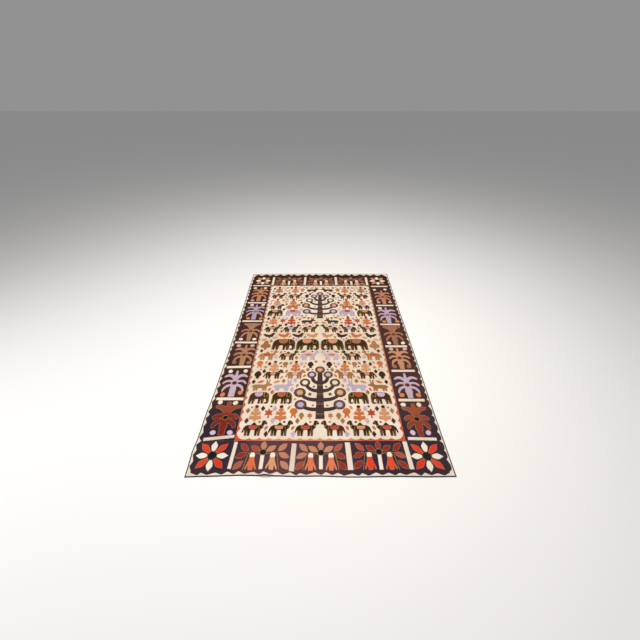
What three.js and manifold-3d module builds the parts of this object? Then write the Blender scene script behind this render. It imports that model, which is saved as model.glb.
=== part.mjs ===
// A kanduri cloth: a cotton hanging covered with sewn-on cloth patches, spread out on the floor.
// Millimetres. X runs across the cloth, Y away from its near edge, Z up from the floor.
// The origin is on the floor under the middle of the cloth.
import * as THREE from 'three';
import Module from 'manifold-3d';

// Driving dimensions of the whole cloth.
const WIDTH = 1200;
const LENGTH = 1860;
const BINDING_WIDTH = 5;
const BINDING_THICKNESS = 1.8;
const CLOTH_THICKNESS = 1.2;
const PATCH_THICKNESS = 1;
const CLEARANCE = 0.3;

// Heights of the two layers of patches above the floor: on the cloth, and on its border.
const ON_CLOTH = CLOTH_THICKNESS + CLEARANCE;
const ON_BORDER = ON_CLOTH + PATCH_THICKNESS + CLEARANCE;

// The field inside the border, and where the cut outer edge of the border starts at a corner.
const FIELD_HALF_WIDTH = 412;
const FIELD_NEAR = 180;
const FIELD_FAR = 1650;
const BORDER_CORNER = { across: 24, near: 30, far: 48 };

// The one raised ripple of the cloth, at its near edge.
const RIPPLE = { x: -240, halfWidth: 46, reach: 100, height: 11, facets: 10 };

// How far each edge runs inside the full width or length, at places along that edge.
const NEAR_EDGE = [
  { at: -600, inset: 0 },
  { at: -515, inset: 3 },
  { at: -350, inset: 8 },
  { at: -190, inset: 5 },
  { at: -96, inset: 2.5 },
  { at: -17, inset: 5 },
  { at: 140, inset: 0 },
  { at: 350, inset: 3 },
  { at: 480, inset: 1 },
  { at: 600, inset: 3 },
];
const FAR_EDGE = [
  { at: -600, inset: 7 },
  { at: -250, inset: 2 },
  { at: 150, inset: 0 },
  { at: 600, inset: 4 },
];
const LEFT_EDGE = [
  { at: 0, inset: 6 },
  { at: 90, inset: 3 },
  { at: 133, inset: 0 },
  { at: 200, inset: 6 },
  { at: 340, inset: 5 },
  { at: 460, inset: 11 },
  { at: 900, inset: 14 },
  { at: 1300, inset: 11 },
  { at: 1700, inset: 6 },
  { at: 1860, inset: 8 },
];
const RIGHT_EDGE = [
  { at: 0, inset: 1 },
  { at: 300, inset: 2.5 },
  { at: 800, inset: 0 },
  { at: 1400, inset: 2 },
  { at: 1860, inset: 1 },
];

// The cut outer edge of the border, side by side: the pitch of its scallops, how near their tips
// come to the cloth's edge, how deep the notches go, and how broad the tips are cut.
const SCALLOPS = {
  near: { pitch: 55, tip: 8, notch: 20, breadth: 0.12 },
  right: { pitch: 50, tip: 9, notch: 20, breadth: 0.28 },
  far: { pitch: 63, tip: 9, notch: 36, breadth: 0.08 },
  left: { pitch: 50, tip: 8.5, notch: 21, breadth: 0.1 },
};

// The toothed strips between border and field: the height of the strip in the hollows and at the
// teeth, and how hollow the flanks of the teeth are. The end strips turn both corners of the field.
const TEETH = {
  pitch: 50,
  corner: 42,
  end: { base: 6, tooth: 15, hollow: 2 },
  side: { base: 3.5, tooth: 16, hollow: 1.5 },
};

// The cream bars that part the border into panels: middle, length, width and turn in degrees.
const BARS = [
  { name: 'left_1', x: -490, y: 195, length: 148, width: 16, turn: 7 },
  { name: 'left_2', x: -490, y: 435, length: 150, width: 18, turn: 0 },
  { name: 'left_3', x: -490, y: 680, length: 146, width: 17, turn: 1.5 },
  { name: 'left_4', x: -489, y: 908, length: 146, width: 17, turn: 0 },
  { name: 'left_5', x: -488, y: 1145, length: 142, width: 17, turn: 0.5 },
  { name: 'left_6', x: -490, y: 1385, length: 144, width: 16, turn: -1 },
  { name: 'left_7', x: -490, y: 1648, length: 146, width: 17, turn: 0 },
  { name: 'right_1', x: 495, y: 190, length: 140, width: 15, turn: -1 },
  { name: 'right_2', x: 497, y: 427, length: 142, width: 17, turn: 0 },
  { name: 'right_3', x: 497, y: 648, length: 140, width: 16, turn: 0.5 },
  { name: 'right_4', x: 497, y: 870, length: 142, width: 17, turn: 0 },
  { name: 'right_5', x: 498, y: 1106, length: 140, width: 16, turn: -1 },
  { name: 'right_6', x: 499, y: 1347, length: 136, width: 16, turn: 0 },
  { name: 'right_7', x: 498, y: 1634, length: 138, width: 17, turn: 0 },
  { name: 'near_1', x: -404, y: 106, length: 136, width: 16, turn: 88 },
  { name: 'near_2', x: -125, y: 96, length: 138, width: 22, turn: 88.5 },
  { name: 'near_3', x: 134, y: 102, length: 138, width: 24, turn: 93 },
  { name: 'near_4', x: 408, y: 106, length: 140, width: 20, turn: 93 },
  { name: 'far_1', x: -402, y: 1725, length: 136, width: 18, turn: 90 },
  { name: 'far_2', x: -129, y: 1727, length: 138, width: 19, turn: 89 },
  { name: 'far_3', x: 138, y: 1727, length: 138, width: 20, turn: 91 },
  { name: 'far_4', x: 401, y: 1725, length: 134, width: 18, turn: 90 },
];

// The palms of both sides, from the near end: the place of the disc in the crown, the size against
// the drawn palm, the half width of the trunk at its foot and at its hip, the crown and the dye.
const PALMS = {
  left: [
    { x: -486, y: 312, across: 1, along: 1.03, foot: 14, hip: 20, crown: 'broad', dye: 'terracotta' },
    { x: -490, y: 550, across: 1, along: 1, foot: 17, hip: 18, crown: 'slender', dye: 'lilac' },
    { x: -480, y: 788, across: 0.94, along: 0.96, foot: 14, hip: 18, crown: 'slender', dye: 'tan' },
    { x: -479, y: 1027, across: 0.92, along: 1, foot: 14, hip: 18, crown: 'funnel', dye: 'tan' },
    { x: -485, y: 1264, across: 0.98, along: 0.98, foot: 17, hip: 16, crown: 'slender', dye: 'lilac' },
    { x: -487, y: 1512, across: 0.94, along: 1.05, foot: 16, hip: 16, crown: 'slender', dye: 'orange' },
  ],
  right: [
    { x: 496, y: 304, across: 0.94, along: 1, foot: 12, hip: 21, crown: 'broad', dye: 'terracotta' },
    { x: 497, y: 535, across: 1, along: 0.95, foot: 14, hip: 21, crown: 'slender', dye: 'lilac' },
    { x: 497, y: 759, across: 0.93, along: 0.96, foot: 14, hip: 21, crown: 'slender', dye: 'orange' },
    { x: 501, y: 992, across: 0.94, along: 1.06, foot: 15, hip: 18, crown: 'funnel', dye: 'tan' },
    { x: 498, y: 1220, across: 0.98, along: 1.02, foot: 13, hip: 19, crown: 'slender', dye: 'lilac' },
    { x: 502, y: 1467, across: 0.93, along: 1.02, foot: 13, hip: 17, crown: 'slender', dye: 'orange' },
  ],
};

// The right half of each crown, drawn about the disc: corners in order from the lowest frond up to
// the tip, each reached by a straight line or by a curve about its bend.
const LOW_FRONDS = [
  { x: 16, y: -24 },
  { bendX: 44, bendY: -26, x: 55, y: -65 },
  { x: 62, y: -62 },
  { bendX: 60, bendY: -12, x: 19, y: -6 },
  { x: 18, y: 3 },
  { bendX: 44, bendY: 20, x: 63, y: -9 },
  { x: 71, y: -3 },
  { bendX: 57, bendY: 33, x: 16, y: 22 },
];
const CROWNS = {
  slender: [
    ...LOW_FRONDS,
    { x: 14, y: 30 },
    { bendX: 34, bendY: 64, x: 62, y: 43 },
    { x: 70, y: 50 },
    { bendX: 44, bendY: 88, x: 8, y: 58 },
    { x: 6, y: 96 },
    { x: 0, y: 99 },
  ],
  broad: [
    { x: 17, y: -30 },
    { bendX: 38, bendY: -34, x: 49, y: -62 },
    { x: 62, y: -57 },
    { bendX: 65, bendY: -12, x: 20, y: -6 },
    { bendX: 42, bendY: 4, x: 60, y: -12 },
    { x: 71, y: 3 },
    { bendX: 54, bendY: 33, x: 18, y: 22 },
    { bendX: 26, bendY: 54, x: 64, y: 59 },
    { x: 70, y: 75 },
    { bendX: 36, bendY: 82, x: 11, y: 68 },
    { x: 10, y: 99 },
    { x: 0, y: 101 },
  ],
  funnel: [
    ...LOW_FRONDS,
    { bendX: 22, bendY: 58, x: 58, y: 74 },
    { x: 66, y: 88 },
    { x: 0, y: 92 },
  ],
};

// The corner flowers: place, and reach of the petals on the axes and on the diagonals.
const CORNER_FLOWERS = [
  { name: 'near_left', x: -499, y: 102, axis: 75, diagonal: 87 },
  { name: 'near_right', x: 494, y: 99, axis: 75, diagonal: 89 },
  { name: 'far_left', x: -490, y: 1730, axis: 66, diagonal: 74 },
  { name: 'far_right', x: 495, y: 1727, axis: 68, diagonal: 76 },
];
const PETAL = { rootReach: 22, rootHalfWidth: 7, widestAt: 0.68, halfWidth: 16.5 };

// The sprays of the end panels: place of the disc, and length of the stem below it.
const SPRAYS = [
  { name: 'near_1', x: -266, y: 119, stem: 82 },
  { name: 'near_2', x: 4, y: 117, stem: 80 },
  { name: 'near_3', x: 275, y: 121, stem: 86 },
  { name: 'far_1', x: -265, y: 1742, stem: 82 },
  { name: 'far_2', x: 8, y: 1738, stem: 78 },
  { name: 'far_3', x: 268, y: 1738, stem: 78 },
];

// The two trees of the field: place of the foot and size against the drawn tree.
const TREES = [
  { name: 'near', x: 0, y: 305, size: 1 },
  { name: 'far', x: 0, y: 1180, size: 0.96 },
];

// The pairs of branches of a tree: where they leave the trunk, how far they bow, where the
// round fruit at their end sits, and its radius.
const BRANCHES = [
  { from: 62, bow: 72, endX: 104, endY: 92, fruit: 33 },
  { from: 126, bow: 84, endX: 112, endY: 176, fruit: 34 },
  { from: 190, bow: 64, endX: 86, endY: 250, fruit: 31 },
  { from: 250, bow: 44, endX: 48, endY: 312, fruit: 28 },
];
const TREE = { height: 352, footWidth: 48, topWidth: 26, branchWidth: 27, branchTip: 19, topFruit: 30 };

const DYES = {
  cream: 0xe9dcc3,
  navy: 0x2c2a3a,
  border: 0x43303a,
  red: 0xd8482a,
  terracotta: 0xa4472b,
  lilac: 0xb7a6cb,
  tan: 0xa8714a,
  orange: 0xcf7f4c,
  brown: 0x3f2a27,
};

const wasm = await Module();
wasm.setup();

// Smooth value of a table between its rows.
function tableValue(table, at) {
  const next = table.findIndex((row) => row.at >= at);
  if (next === 0) return table[0].inset;
  if (next < 0) return table[table.length - 1].inset;
  const [a, b] = [table[next - 1], table[next]];
  return THREE.MathUtils.lerp(a.inset, b.inset, THREE.MathUtils.smoothstep(at, a.at, b.at));
}

// The four edges of the cloth, as places that lie a given depth inside the edge.
const edges = {
  near: (x, depth) => new THREE.Vector2(x, tableValue(NEAR_EDGE, x) + depth),
  far: (x, depth) => new THREE.Vector2(x, LENGTH - tableValue(FAR_EDGE, x) - depth),
  left: (y, depth) => new THREE.Vector2(tableValue(LEFT_EDGE, y) - WIDTH / 2 + depth, y),
  right: (y, depth) => new THREE.Vector2(WIDTH / 2 - tableValue(RIGHT_EDGE, y) - depth, y),
};

// Even places from one value up to, but not at, another.
function steps(from, to, pitch) {
  const count = Math.max(1, Math.round(Math.abs(to - from) / pitch));
  return Array.from({ length: count }, (_, i) => THREE.MathUtils.lerp(from, to, i / count));
}

// Height of the cloth above the floor. The ripple is a cone of flat facets, widest and highest
// at the near edge, whose tip lies inside the cloth.
function lift(x, y) {
  const { halfWidth, reach, height, facets } = RIPPLE;
  const shrink = 1 - y / reach;
  const place = shrink > 0 ? (((x - RIPPLE.x) / (halfWidth * shrink) + 1) * facets) / 2 : -1;
  if (place <= 0 || place >= facets) return 0;
  const crest = (fold) => Math.sin((Math.PI * fold) / facets) ** 2;
  const fold = Math.floor(place);
  return height * shrink * THREE.MathUtils.lerp(crest(fold), crest(fold + 1), place - fold);
}

// A straight line on the floor, as the distance of any place from it, with a sign for its side.
function lineThrough(from, to) {
  const along = to.clone().sub(from).normalize();
  return (p) => along.cross(p.clone().sub(from));
}

const rippleEnds = [RIPPLE.x - RIPPLE.halfWidth, RIPPLE.x + RIPPLE.halfWidth];
const foldLines = Array.from({ length: RIPPLE.facets + 1 }, (_, i) => {
  const foot = THREE.MathUtils.lerp(...rippleEnds, i / RIPPLE.facets);
  return lineThrough(new THREE.Vector2(RIPPLE.x, RIPPLE.reach), new THREE.Vector2(foot, 0));
});

// Cuts a flat outline in two along a line that crosses it twice.
function cutOutline(outline, distance) {
  const [low, high] = [[], []];
  const side = (p) => (Math.abs(distance(p)) < 1e-3 ? 0 : distance(p));
  outline.forEach((p, i) => {
    const q = outline[(i + 1) % outline.length];
    const [here, there] = [side(p), side(q)];
    if (here <= 0) low.push(p);
    if (here >= 0) high.push(p);
    if (here * there < 0) {
      const cut = p.clone().lerp(q, here / (here - there));
      low.push(cut);
      high.push(cut);
    }
  });
  return [low, high];
}

function cutOutlines(outlines, distance) {
  return outlines.flatMap((outline) => cutOutline(outline, distance)).filter((part) => part.length > 2);
}

// Gives a triangle the points of its neighbours that lie on its edges.
function fanned(corners, points) {
  for (let i = 0; i < 3; i += 1) {
    const [p, q, opposite] = [corners[i], corners[(i + 1) % 3], corners[(i + 2) % 3]];
    const edge = q.clone().sub(p);
    const onEdge = points
      .map((point) => ({ point, t: point.clone().sub(p).dot(edge) / edge.lengthSq() }))
      .filter(({ point, t }) => t > 1e-4 && t < 1 - 1e-4
        && point.distanceTo(p.clone().lerp(q, t)) < 1e-3)
      .sort((a, b) => a.t - b.t);
    if (onEdge.length > 0) {
      const chain = [p, ...onEdge.map(({ point }) => point), q];
      return chain.slice(1).flatMap((next, k) => fanned([chain[k], next, opposite], points));
    }
  }
  return [corners];
}

function triangles(outline) {
  return THREE.ShapeUtils.triangulateShape(outline, []).map((corners) => corners.map((i) => outline[i]));
}

// The triangles of a flat outline, cut along the folds of the ripple where they reach it.
function foldedTriangles(outline) {
  const [left, right] = rippleEnds;
  const box = new THREE.Box2().setFromPoints(outline);
  if (box.min.x > right || box.max.x < left || box.min.y > RIPPLE.reach) return triangles(outline);
  const [strip, rest] = cutOutline(outline, (p) => p.y - RIPPLE.reach);
  let lifted = [strip];
  for (const end of rippleEnds) lifted = cutOutlines(lifted, (p) => p.x - end);
  for (const line of foldLines) {
    lifted = lifted.flatMap((part) => {
      const middle = part.reduce((sum, p) => sum + p.x, 0) / part.length;
      return middle > left && middle < right ? cutOutlines([part], line) : [part];
    });
  }
  const points = lifted.flat();
  const flat = rest.length > 2 ? triangles(rest) : [];
  return [...lifted.flatMap((part) => triangles(part)), ...flat]
    .flatMap((corners) => fanned(corners, points));
}

// A closed sheet of cloth inside an outline, drawn counter-clockwise, that follows the ripple.
function sheetGeometry(outline, thickness) {
  const numbers = new Map();
  const places = [];
  const number = (p) => {
    const key = `${p.x.toFixed(3)},${p.y.toFixed(3)}`;
    if (!numbers.has(key)) {
      numbers.set(key, places.length);
      places.push(p);
    }
    return numbers.get(key);
  };
  const tops = foldedTriangles(outline)
    .map((triangle) => triangle.map(number))
    .filter(([a, b, c]) => a !== b && b !== c && c !== a);
  const count = places.length;
  const used = new Set(tops.flatMap(([a, b, c]) => [`${a}-${b}`, `${b}-${c}`, `${c}-${a}`]));
  const index = tops.flatMap(([a, b, c]) => [a, b, c, a + count, c + count, b + count]);
  for (const [a, b] of [...used].map((edge) => edge.split('-').map(Number))) {
    if (used.has(`${b}-${a}`)) continue;
    index.push(a + count, b + count, b, a + count, b, a);
  }
  const under = places.flatMap((p) => [p.x, p.y, lift(p.x, p.y)]);
  const over = places.flatMap((p) => [p.x, p.y, lift(p.x, p.y) + thickness]);
  const geometry = new THREE.BufferGeometry();
  geometry.setAttribute('position', new THREE.Float32BufferAttribute([...over, ...under], 3));
  geometry.setIndex(index);
  geometry.computeVertexNormals();
  return geometry;
}

function dyed(dye) {
  return new THREE.MeshStandardMaterial({ color: DYES[dye], roughness: 0.9, metalness: 0 });
}

function sheet(name, dye, level, thickness, outline) {
  const mesh = new THREE.Mesh(sheetGeometry(outline, thickness), dyed(dye));
  mesh.name = name;
  mesh.position.z = level;
  return mesh;
}

// Puts an outline that was drawn about its own origin at its place on the cloth.
function placed(outline, { x, y, across = 1, along = 1, turn = 0 }) {
  const centre = new THREE.Vector2(0, 0);
  const angle = THREE.MathUtils.degToRad(turn);
  const moved = outline.map((p) =>
    new THREE.Vector2(p.x * across, p.y * along).rotateAround(centre, angle).add({ x, y }));
  return across * along < 0 ? moved.reverse() : moved;
}

// The whole outline of a shape drawn as its right half, from the foot up to the top.
function bothHalves(half) {
  const inner = half.filter((p) => p.x > 1e-6);
  const mirrored = inner.map((p) => new THREE.Vector2(-p.x, p.y)).reverse();
  const onAxis = half.filter((p) => p.x <= 1e-6);
  return [onAxis[0], ...inner, ...onAxis.slice(1), ...mirrored];
}

// The cream ground, which lies just inside the binding on all four sides.
function groundCloth() {
  const depth = BINDING_WIDTH + CLEARANCE;
  const pitch = 60;
  const [nearLeft, nearRight] = [edges.left(0, depth).x, edges.right(0, depth).x];
  const [farLeft, farRight] = [edges.left(LENGTH, depth).x, edges.right(LENGTH, depth).x];
  const [bottomLeft, bottomRight] = [edges.near(nearLeft, depth).y, edges.near(nearRight, depth).y];
  const [topLeft, topRight] = [edges.far(farLeft, depth).y, edges.far(farRight, depth).y];
  const outline = [
    ...steps(nearLeft, nearRight, pitch).map((x) => edges.near(x, depth)),
    ...steps(bottomRight, topRight, pitch).map((y) => edges.right(y, depth)),
    ...steps(farRight, farLeft, pitch).map((x) => edges.far(x, depth)),
    ...steps(topLeft, bottomLeft, pitch).map((y) => edges.left(y, depth)),
  ];
  return sheet('ground_cloth', 'cream', 0, CLOTH_THICKNESS, outline);
}

// One strip of the binding. The near and far strips run past the ends of the side strips.
function bindingStrip(side, from, to) {
  const places = [...steps(from, to, 60), to];
  const outer = places.map((at) => edges[side](at, 0));
  const inner = places.map((at) => edges[side](at, BINDING_WIDTH)).reverse();
  const outline = [...outer, ...inner];
  const turned = side === 'near' || side === 'right' ? outline : outline.reverse();
  return sheet(`binding_${side}`, 'navy', 0, BINDING_THICKNESS, turned);
}

function binding() {
  const depth = BINDING_WIDTH + CLEARANCE;
  return ['near', 'far', 'left', 'right'].map((side) => {
    if (side === 'near' || side === 'far') {
      const at = side === 'near' ? 0 : LENGTH;
      return bindingStrip(side, edges.left(at, 0).x, edges.right(at, 0).x);
    }
    const corner = side === 'left' ? -WIDTH / 2 : WIDTH / 2;
    return bindingStrip(side, edges.near(corner, depth).y, edges.far(corner, depth).y);
  });
}

// The cut edge of the border along one stretch of a side: notches, and tips between them.
function scallopedEdge(side, from, to) {
  const { pitch, tip, notch, breadth } = SCALLOPS[side];
  const count = Math.round(Math.abs(to - from) / pitch);
  const step = (to - from) / count;
  const scallops = Array.from({ length: count }, (_, i) => {
    const uneven = Math.sin(i * 2.4 + from);
    const start = from + step * (i + (i === 0 ? 0 : 0.12 * uneven));
    const middle = from + step * (i + 0.5 + 0.1 * uneven);
    const notchDepth = notch + 2 * Math.cos(i * 1.7);
    const tipDepth = tip + 1.2 * Math.sin(i * 3.1);
    const flank = THREE.MathUtils.lerp(tipDepth, notchDepth, breadth > 0.2 ? 0.12 : 0.2);
    return [
      edges[side](start, notchDepth),
      edges[side](middle - step * breadth, flank),
      edges[side](middle, tipDepth),
      edges[side](middle + step * breadth, flank),
    ];
  });
  return [...scallops.flat(), edges[side](to, notch)];
}

// The dark border: near and far strips as wide as the cloth, and two side strips between them.
function borderStrips() {
  const right = WIDTH / 2 - BORDER_CORNER.across;
  const far = LENGTH - BORDER_CORNER.far;
  const inner = FIELD_HALF_WIDTH + CLEARANCE;
  const [nearSeam, farSeam] = [FIELD_NEAR - CLEARANCE, FIELD_FAR + CLEARANCE];
  const outlines = {
    near: [
      ...scallopedEdge('left', nearSeam, BORDER_CORNER.near),
      ...scallopedEdge('near', -right, right),
      ...scallopedEdge('right', BORDER_CORNER.near, nearSeam),
    ],
    far: [
      ...scallopedEdge('right', farSeam, far),
      ...scallopedEdge('far', right, -right),
      ...scallopedEdge('left', far, farSeam),
    ],
    left: [
      ...scallopedEdge('left', FIELD_FAR, FIELD_NEAR),
      new THREE.Vector2(-inner, FIELD_NEAR),
      new THREE.Vector2(-inner, FIELD_FAR),
    ],
    right: [
      ...scallopedEdge('right', FIELD_NEAR, FIELD_FAR),
      new THREE.Vector2(inner, FIELD_FAR),
      new THREE.Vector2(inner, FIELD_NEAR),
    ],
  };
  return Object.entries(outlines).map(([side, outline]) =>
    sheet(`border_${side}`, 'border', ON_CLOTH, PATCH_THICKNESS, outline));
}

// A toothed strip drawn along X, its straight edge on the axis, its hollow-sided teeth pointing up.
// A strip with turned corners reaches up both its ends in a hollow curve.
function toothedStrip(length, { base, tooth, hollow }, turnsCorners) {
  const { pitch, corner } = TEETH;
  const ends = turnsCorners ? corner : 0;
  const half = length / 2;
  const count = Math.round((length - 2 * ends) / pitch);
  const step = (length - 2 * ends) / count;
  const teeth = Array.from({ length: count }, (_, i) => {
    const start = half - ends - i * step;
    const height = tooth + 1.5 * Math.sin(i * 2.1) - base;
    const lean = 0.5 + 0.06 * Math.sin(i * 1.3);
    return [-0.36, -0.22, -0.1, 0, 0.1, 0.22, 0.36].map((off) => {
      const share = (1 - 2 * Math.abs(off)) ** hollow;
      return new THREE.Vector2(start - step * (lean + off), base + height * share);
    });
  }).flat();
  const end = (x) => {
    if (!turnsCorners) return [new THREE.Vector2(x, base)];
    const inner = TEETH.side.base;
    const turn = new THREE.QuadraticBezierCurve(
      new THREE.Vector2(x - Math.sign(x) * inner, corner),
      new THREE.Vector2(x - Math.sign(x) * (inner + 5), base + 5),
      new THREE.Vector2(x - Math.sign(x) * corner, base),
    );
    return [new THREE.Vector2(x, corner), ...turn.getPoints(4)];
  };
  return [
    new THREE.Vector2(-half, 0),
    new THREE.Vector2(half, 0),
    ...end(half),
    ...teeth,
    ...end(-half).reverse(),
  ];
}

function toothedStrips() {
  const endLength = 2 * FIELD_HALF_WIDTH;
  const sideLength = FIELD_FAR - FIELD_NEAR - 2 * (TEETH.corner + CLEARANCE);
  const middle = (FIELD_NEAR + FIELD_FAR) / 2;
  const strips = [
    { name: 'near', dye: 'red', cut: 'end', x: 0, y: FIELD_NEAR, turn: 0 },
    { name: 'far', dye: 'tan', cut: 'end', x: 0, y: FIELD_FAR, turn: 180 },
    { name: 'left', dye: 'terracotta', cut: 'side', x: -FIELD_HALF_WIDTH, y: middle, turn: -90 },
    { name: 'right', dye: 'terracotta', cut: 'side', x: FIELD_HALF_WIDTH, y: middle, turn: 90 },
  ];
  return strips.map((strip) => {
    const atEnd = strip.cut === 'end';
    const outline = toothedStrip(atEnd ? endLength : sideLength, TEETH[strip.cut], atEnd);
    return sheet(`zigzag_${strip.name}`, strip.dye, ON_CLOTH, PATCH_THICKNESS, placed(outline, strip));
  });
}

// A cream bar, cut by hand: its ends are a little out of square and of unlike width.
function creamBar(bar) {
  const [l, w] = [bar.length / 2, bar.width / 2];
  const outline = [
    new THREE.Vector2(-l, -w),
    new THREE.Vector2(l - 1.5, -w - 0.6),
    new THREE.Vector2(l, w - 0.4),
    new THREE.Vector2(1 - l, w + 0.6),
  ];
  return sheet(`bar_${bar.name}`, 'cream', ON_BORDER, PATCH_THICKNESS, placed(outline, bar));
}

// A palm, drawn about the disc in its crown: trunk, three pairs of fronds and the top.
function palmOutline({ foot, hip, crown }) {
  const half = new THREE.Shape();
  half.moveTo(0, -100);
  half.lineTo(foot, -100);
  half.quadraticCurveTo(foot, -70, hip, -50);
  for (const { bendX, bendY, x, y } of CROWNS[crown]) {
    if (bendX === undefined) half.lineTo(x, y);
    else half.quadraticCurveTo(bendX, bendY, x, y);
  }
  return bothHalves(half.getPoints(4));
}

function palms(side) {
  return PALMS[side].map((row, i) => {
    const outline = placed(palmOutline(row), row);
    return sheet(`palm_${side}_${i + 1}`, row.dye, ON_BORDER, PATCH_THICKNESS, outline);
  });
}

// A flower of eight kite-shaped petals, those on the diagonals longer than those on the axes.
function cornerFlower(row) {
  const { rootReach, rootHalfWidth, widestAt, halfWidth } = PETAL;
  const outline = Array.from({ length: 8 }, (_, i) => {
    const reach = i % 2 ? row.diagonal : row.axis;
    const turn = THREE.MathUtils.degToRad(45 * i);
    const petal = [
      new THREE.Vector2(rootReach, -rootHalfWidth),
      new THREE.Vector2(widestAt * reach, -halfWidth),
      new THREE.Vector2(reach, 0),
      new THREE.Vector2(widestAt * reach, halfWidth),
      new THREE.Vector2(rootReach, rootHalfWidth),
    ];
    return petal.map((p) => p.rotateAround(new THREE.Vector2(0, 0), turn));
  }).flat();
  return sheet(`corner_flower_${row.name}`, 'red', ON_BORDER, PATCH_THICKNESS, placed(outline, row));
}

// A spray: a stem below a disc, one leaf petal above it and one at each side.
function spray(row) {
  const half = new THREE.Shape();
  half.moveTo(0, -row.stem);
  half.lineTo(8.5, -row.stem);
  half.lineTo(9, -13);
  half.lineTo(13, -5);
  half.quadraticCurveTo(52, -2, 59, 33);
  half.quadraticCurveTo(26, 42, 8, 14);
  half.quadraticCurveTo(24, 34, 1, 56);
  half.lineTo(0, 57);
  const outline = placed(bothHalves(half.getPoints(4)), row);
  return sheet(`spray_${row.name}`, 'terracotta', ON_BORDER, PATCH_THICKNESS, outline);
}

// A band of cloth along a curve, from one width to another.
function bandOutline(curve, fromWidth, toWidth, pieces = 6) {
  const side = (sign) => Array.from({ length: pieces + 1 }, (_, i) => {
    const t = i / pieces;
    const along = curve.getTangent(t);
    const reach = (sign * THREE.MathUtils.lerp(fromWidth, toWidth, t)) / 2;
    return curve.getPoint(t).add({ x: along.y * reach, y: -along.x * reach });
  });
  return [...side(1), ...side(-1).reverse()];
}

function discOutline(x, y, radius, corners = 14) {
  return Array.from({ length: corners }, (_, i) => {
    const angle = (2 * Math.PI * i) / corners;
    return new THREE.Vector2(x + radius * Math.cos(angle), y + radius * Math.sin(angle));
  });
}

// Joins flat pieces that lie across each other into one piece of cloth.
function joinedSolids(geometries) {
  const solids = geometries.map((geometry) => new wasm.Manifold(new wasm.Mesh({
    numProp: 3,
    vertProperties: geometry.getAttribute('position').array,
    triVerts: new Uint32Array(geometry.getIndex().array),
  })));
  const joined = solids.reduce((sum, solid) => sum.add(solid));
  const mesh = joined.getMesh();
  const geometry = new THREE.BufferGeometry();
  geometry.setAttribute('position', new THREE.Float32BufferAttribute(mesh.vertProperties, 3));
  geometry.setIndex([...mesh.triVerts]);
  geometry.computeVertexNormals();
  return geometry;
}

function tree(row) {
  const trunk = new THREE.LineCurve(new THREE.Vector2(0, 0), new THREE.Vector2(0, TREE.height));
  const outlines = [
    bandOutline(trunk, TREE.footWidth, TREE.topWidth),
    discOutline(0, TREE.height, TREE.topFruit),
  ];
  for (const branch of BRANCHES) {
    for (const side of [-1, 1]) {
      const curve = new THREE.QuadraticBezierCurve(
        new THREE.Vector2(0, branch.from),
        new THREE.Vector2(side * branch.bow, branch.from - 10),
        new THREE.Vector2(side * branch.endX, branch.endY),
      );
      outlines.push(bandOutline(curve, TREE.branchWidth, TREE.branchTip));
      outlines.push(discOutline(side * branch.endX, branch.endY, branch.fruit));
    }
  }
  const size = { x: row.x, y: row.y, across: row.size, along: row.size };
  const geometries = outlines.map((outline) => sheetGeometry(placed(outline, size), PATCH_THICKNESS));
  const mesh = new THREE.Mesh(joinedSolids(geometries), dyed('brown'));
  mesh.name = `tree_${row.name}`;
  mesh.position.z = ON_CLOTH;
  return mesh;
}

const cloth = new THREE.Group();
cloth.position.y = -LENGTH / 2;
cloth.add(
  groundCloth(),
  ...binding(),
  ...borderStrips(),
  ...toothedStrips(),
  ...BARS.map(creamBar),
  ...palms('left'),
  ...palms('right'),
  ...CORNER_FLOWERS.map(cornerFlower),
  ...SPRAYS.map(spray),
  ...TREES.map(tree),
);

export default cloth;
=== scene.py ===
import math

import bmesh
import bpy
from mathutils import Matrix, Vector, kdtree, noise


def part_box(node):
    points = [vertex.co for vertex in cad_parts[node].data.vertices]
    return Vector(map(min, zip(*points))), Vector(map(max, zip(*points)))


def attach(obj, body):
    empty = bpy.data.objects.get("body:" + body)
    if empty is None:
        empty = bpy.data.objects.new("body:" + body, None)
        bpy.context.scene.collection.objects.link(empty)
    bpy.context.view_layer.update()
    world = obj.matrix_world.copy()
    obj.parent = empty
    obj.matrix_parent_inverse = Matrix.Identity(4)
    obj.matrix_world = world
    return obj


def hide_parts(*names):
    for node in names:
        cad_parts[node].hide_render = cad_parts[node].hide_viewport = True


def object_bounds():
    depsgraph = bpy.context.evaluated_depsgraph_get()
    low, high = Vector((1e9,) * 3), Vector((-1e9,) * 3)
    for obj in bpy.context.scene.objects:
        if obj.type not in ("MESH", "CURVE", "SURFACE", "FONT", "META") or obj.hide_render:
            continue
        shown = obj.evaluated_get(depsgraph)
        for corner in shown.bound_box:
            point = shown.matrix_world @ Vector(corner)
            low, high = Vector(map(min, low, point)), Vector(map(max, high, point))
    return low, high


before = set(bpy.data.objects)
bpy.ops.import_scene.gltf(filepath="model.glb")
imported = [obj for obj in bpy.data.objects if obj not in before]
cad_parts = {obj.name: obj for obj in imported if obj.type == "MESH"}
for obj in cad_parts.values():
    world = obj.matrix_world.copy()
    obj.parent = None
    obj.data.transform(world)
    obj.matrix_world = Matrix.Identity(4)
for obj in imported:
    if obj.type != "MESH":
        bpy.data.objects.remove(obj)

frame_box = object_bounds()
MM = 0.001

# The studio
# The cloth lies on a plain pale floor under broad soft lights. The camera stands on the long axis
# of the cloth, before its near edge, and looks down on it.
CAMERA_PLACE = (0.0, -1.666, 1.40)
CAMERA_TILT = math.radians(53.6)
CAMERA_LENS = 18.3
FLOOR_SIZE = 40.0


def new_object(name, data):
    made = bpy.data.objects.new(name, data)
    bpy.context.collection.objects.link(made)
    return made


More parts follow.
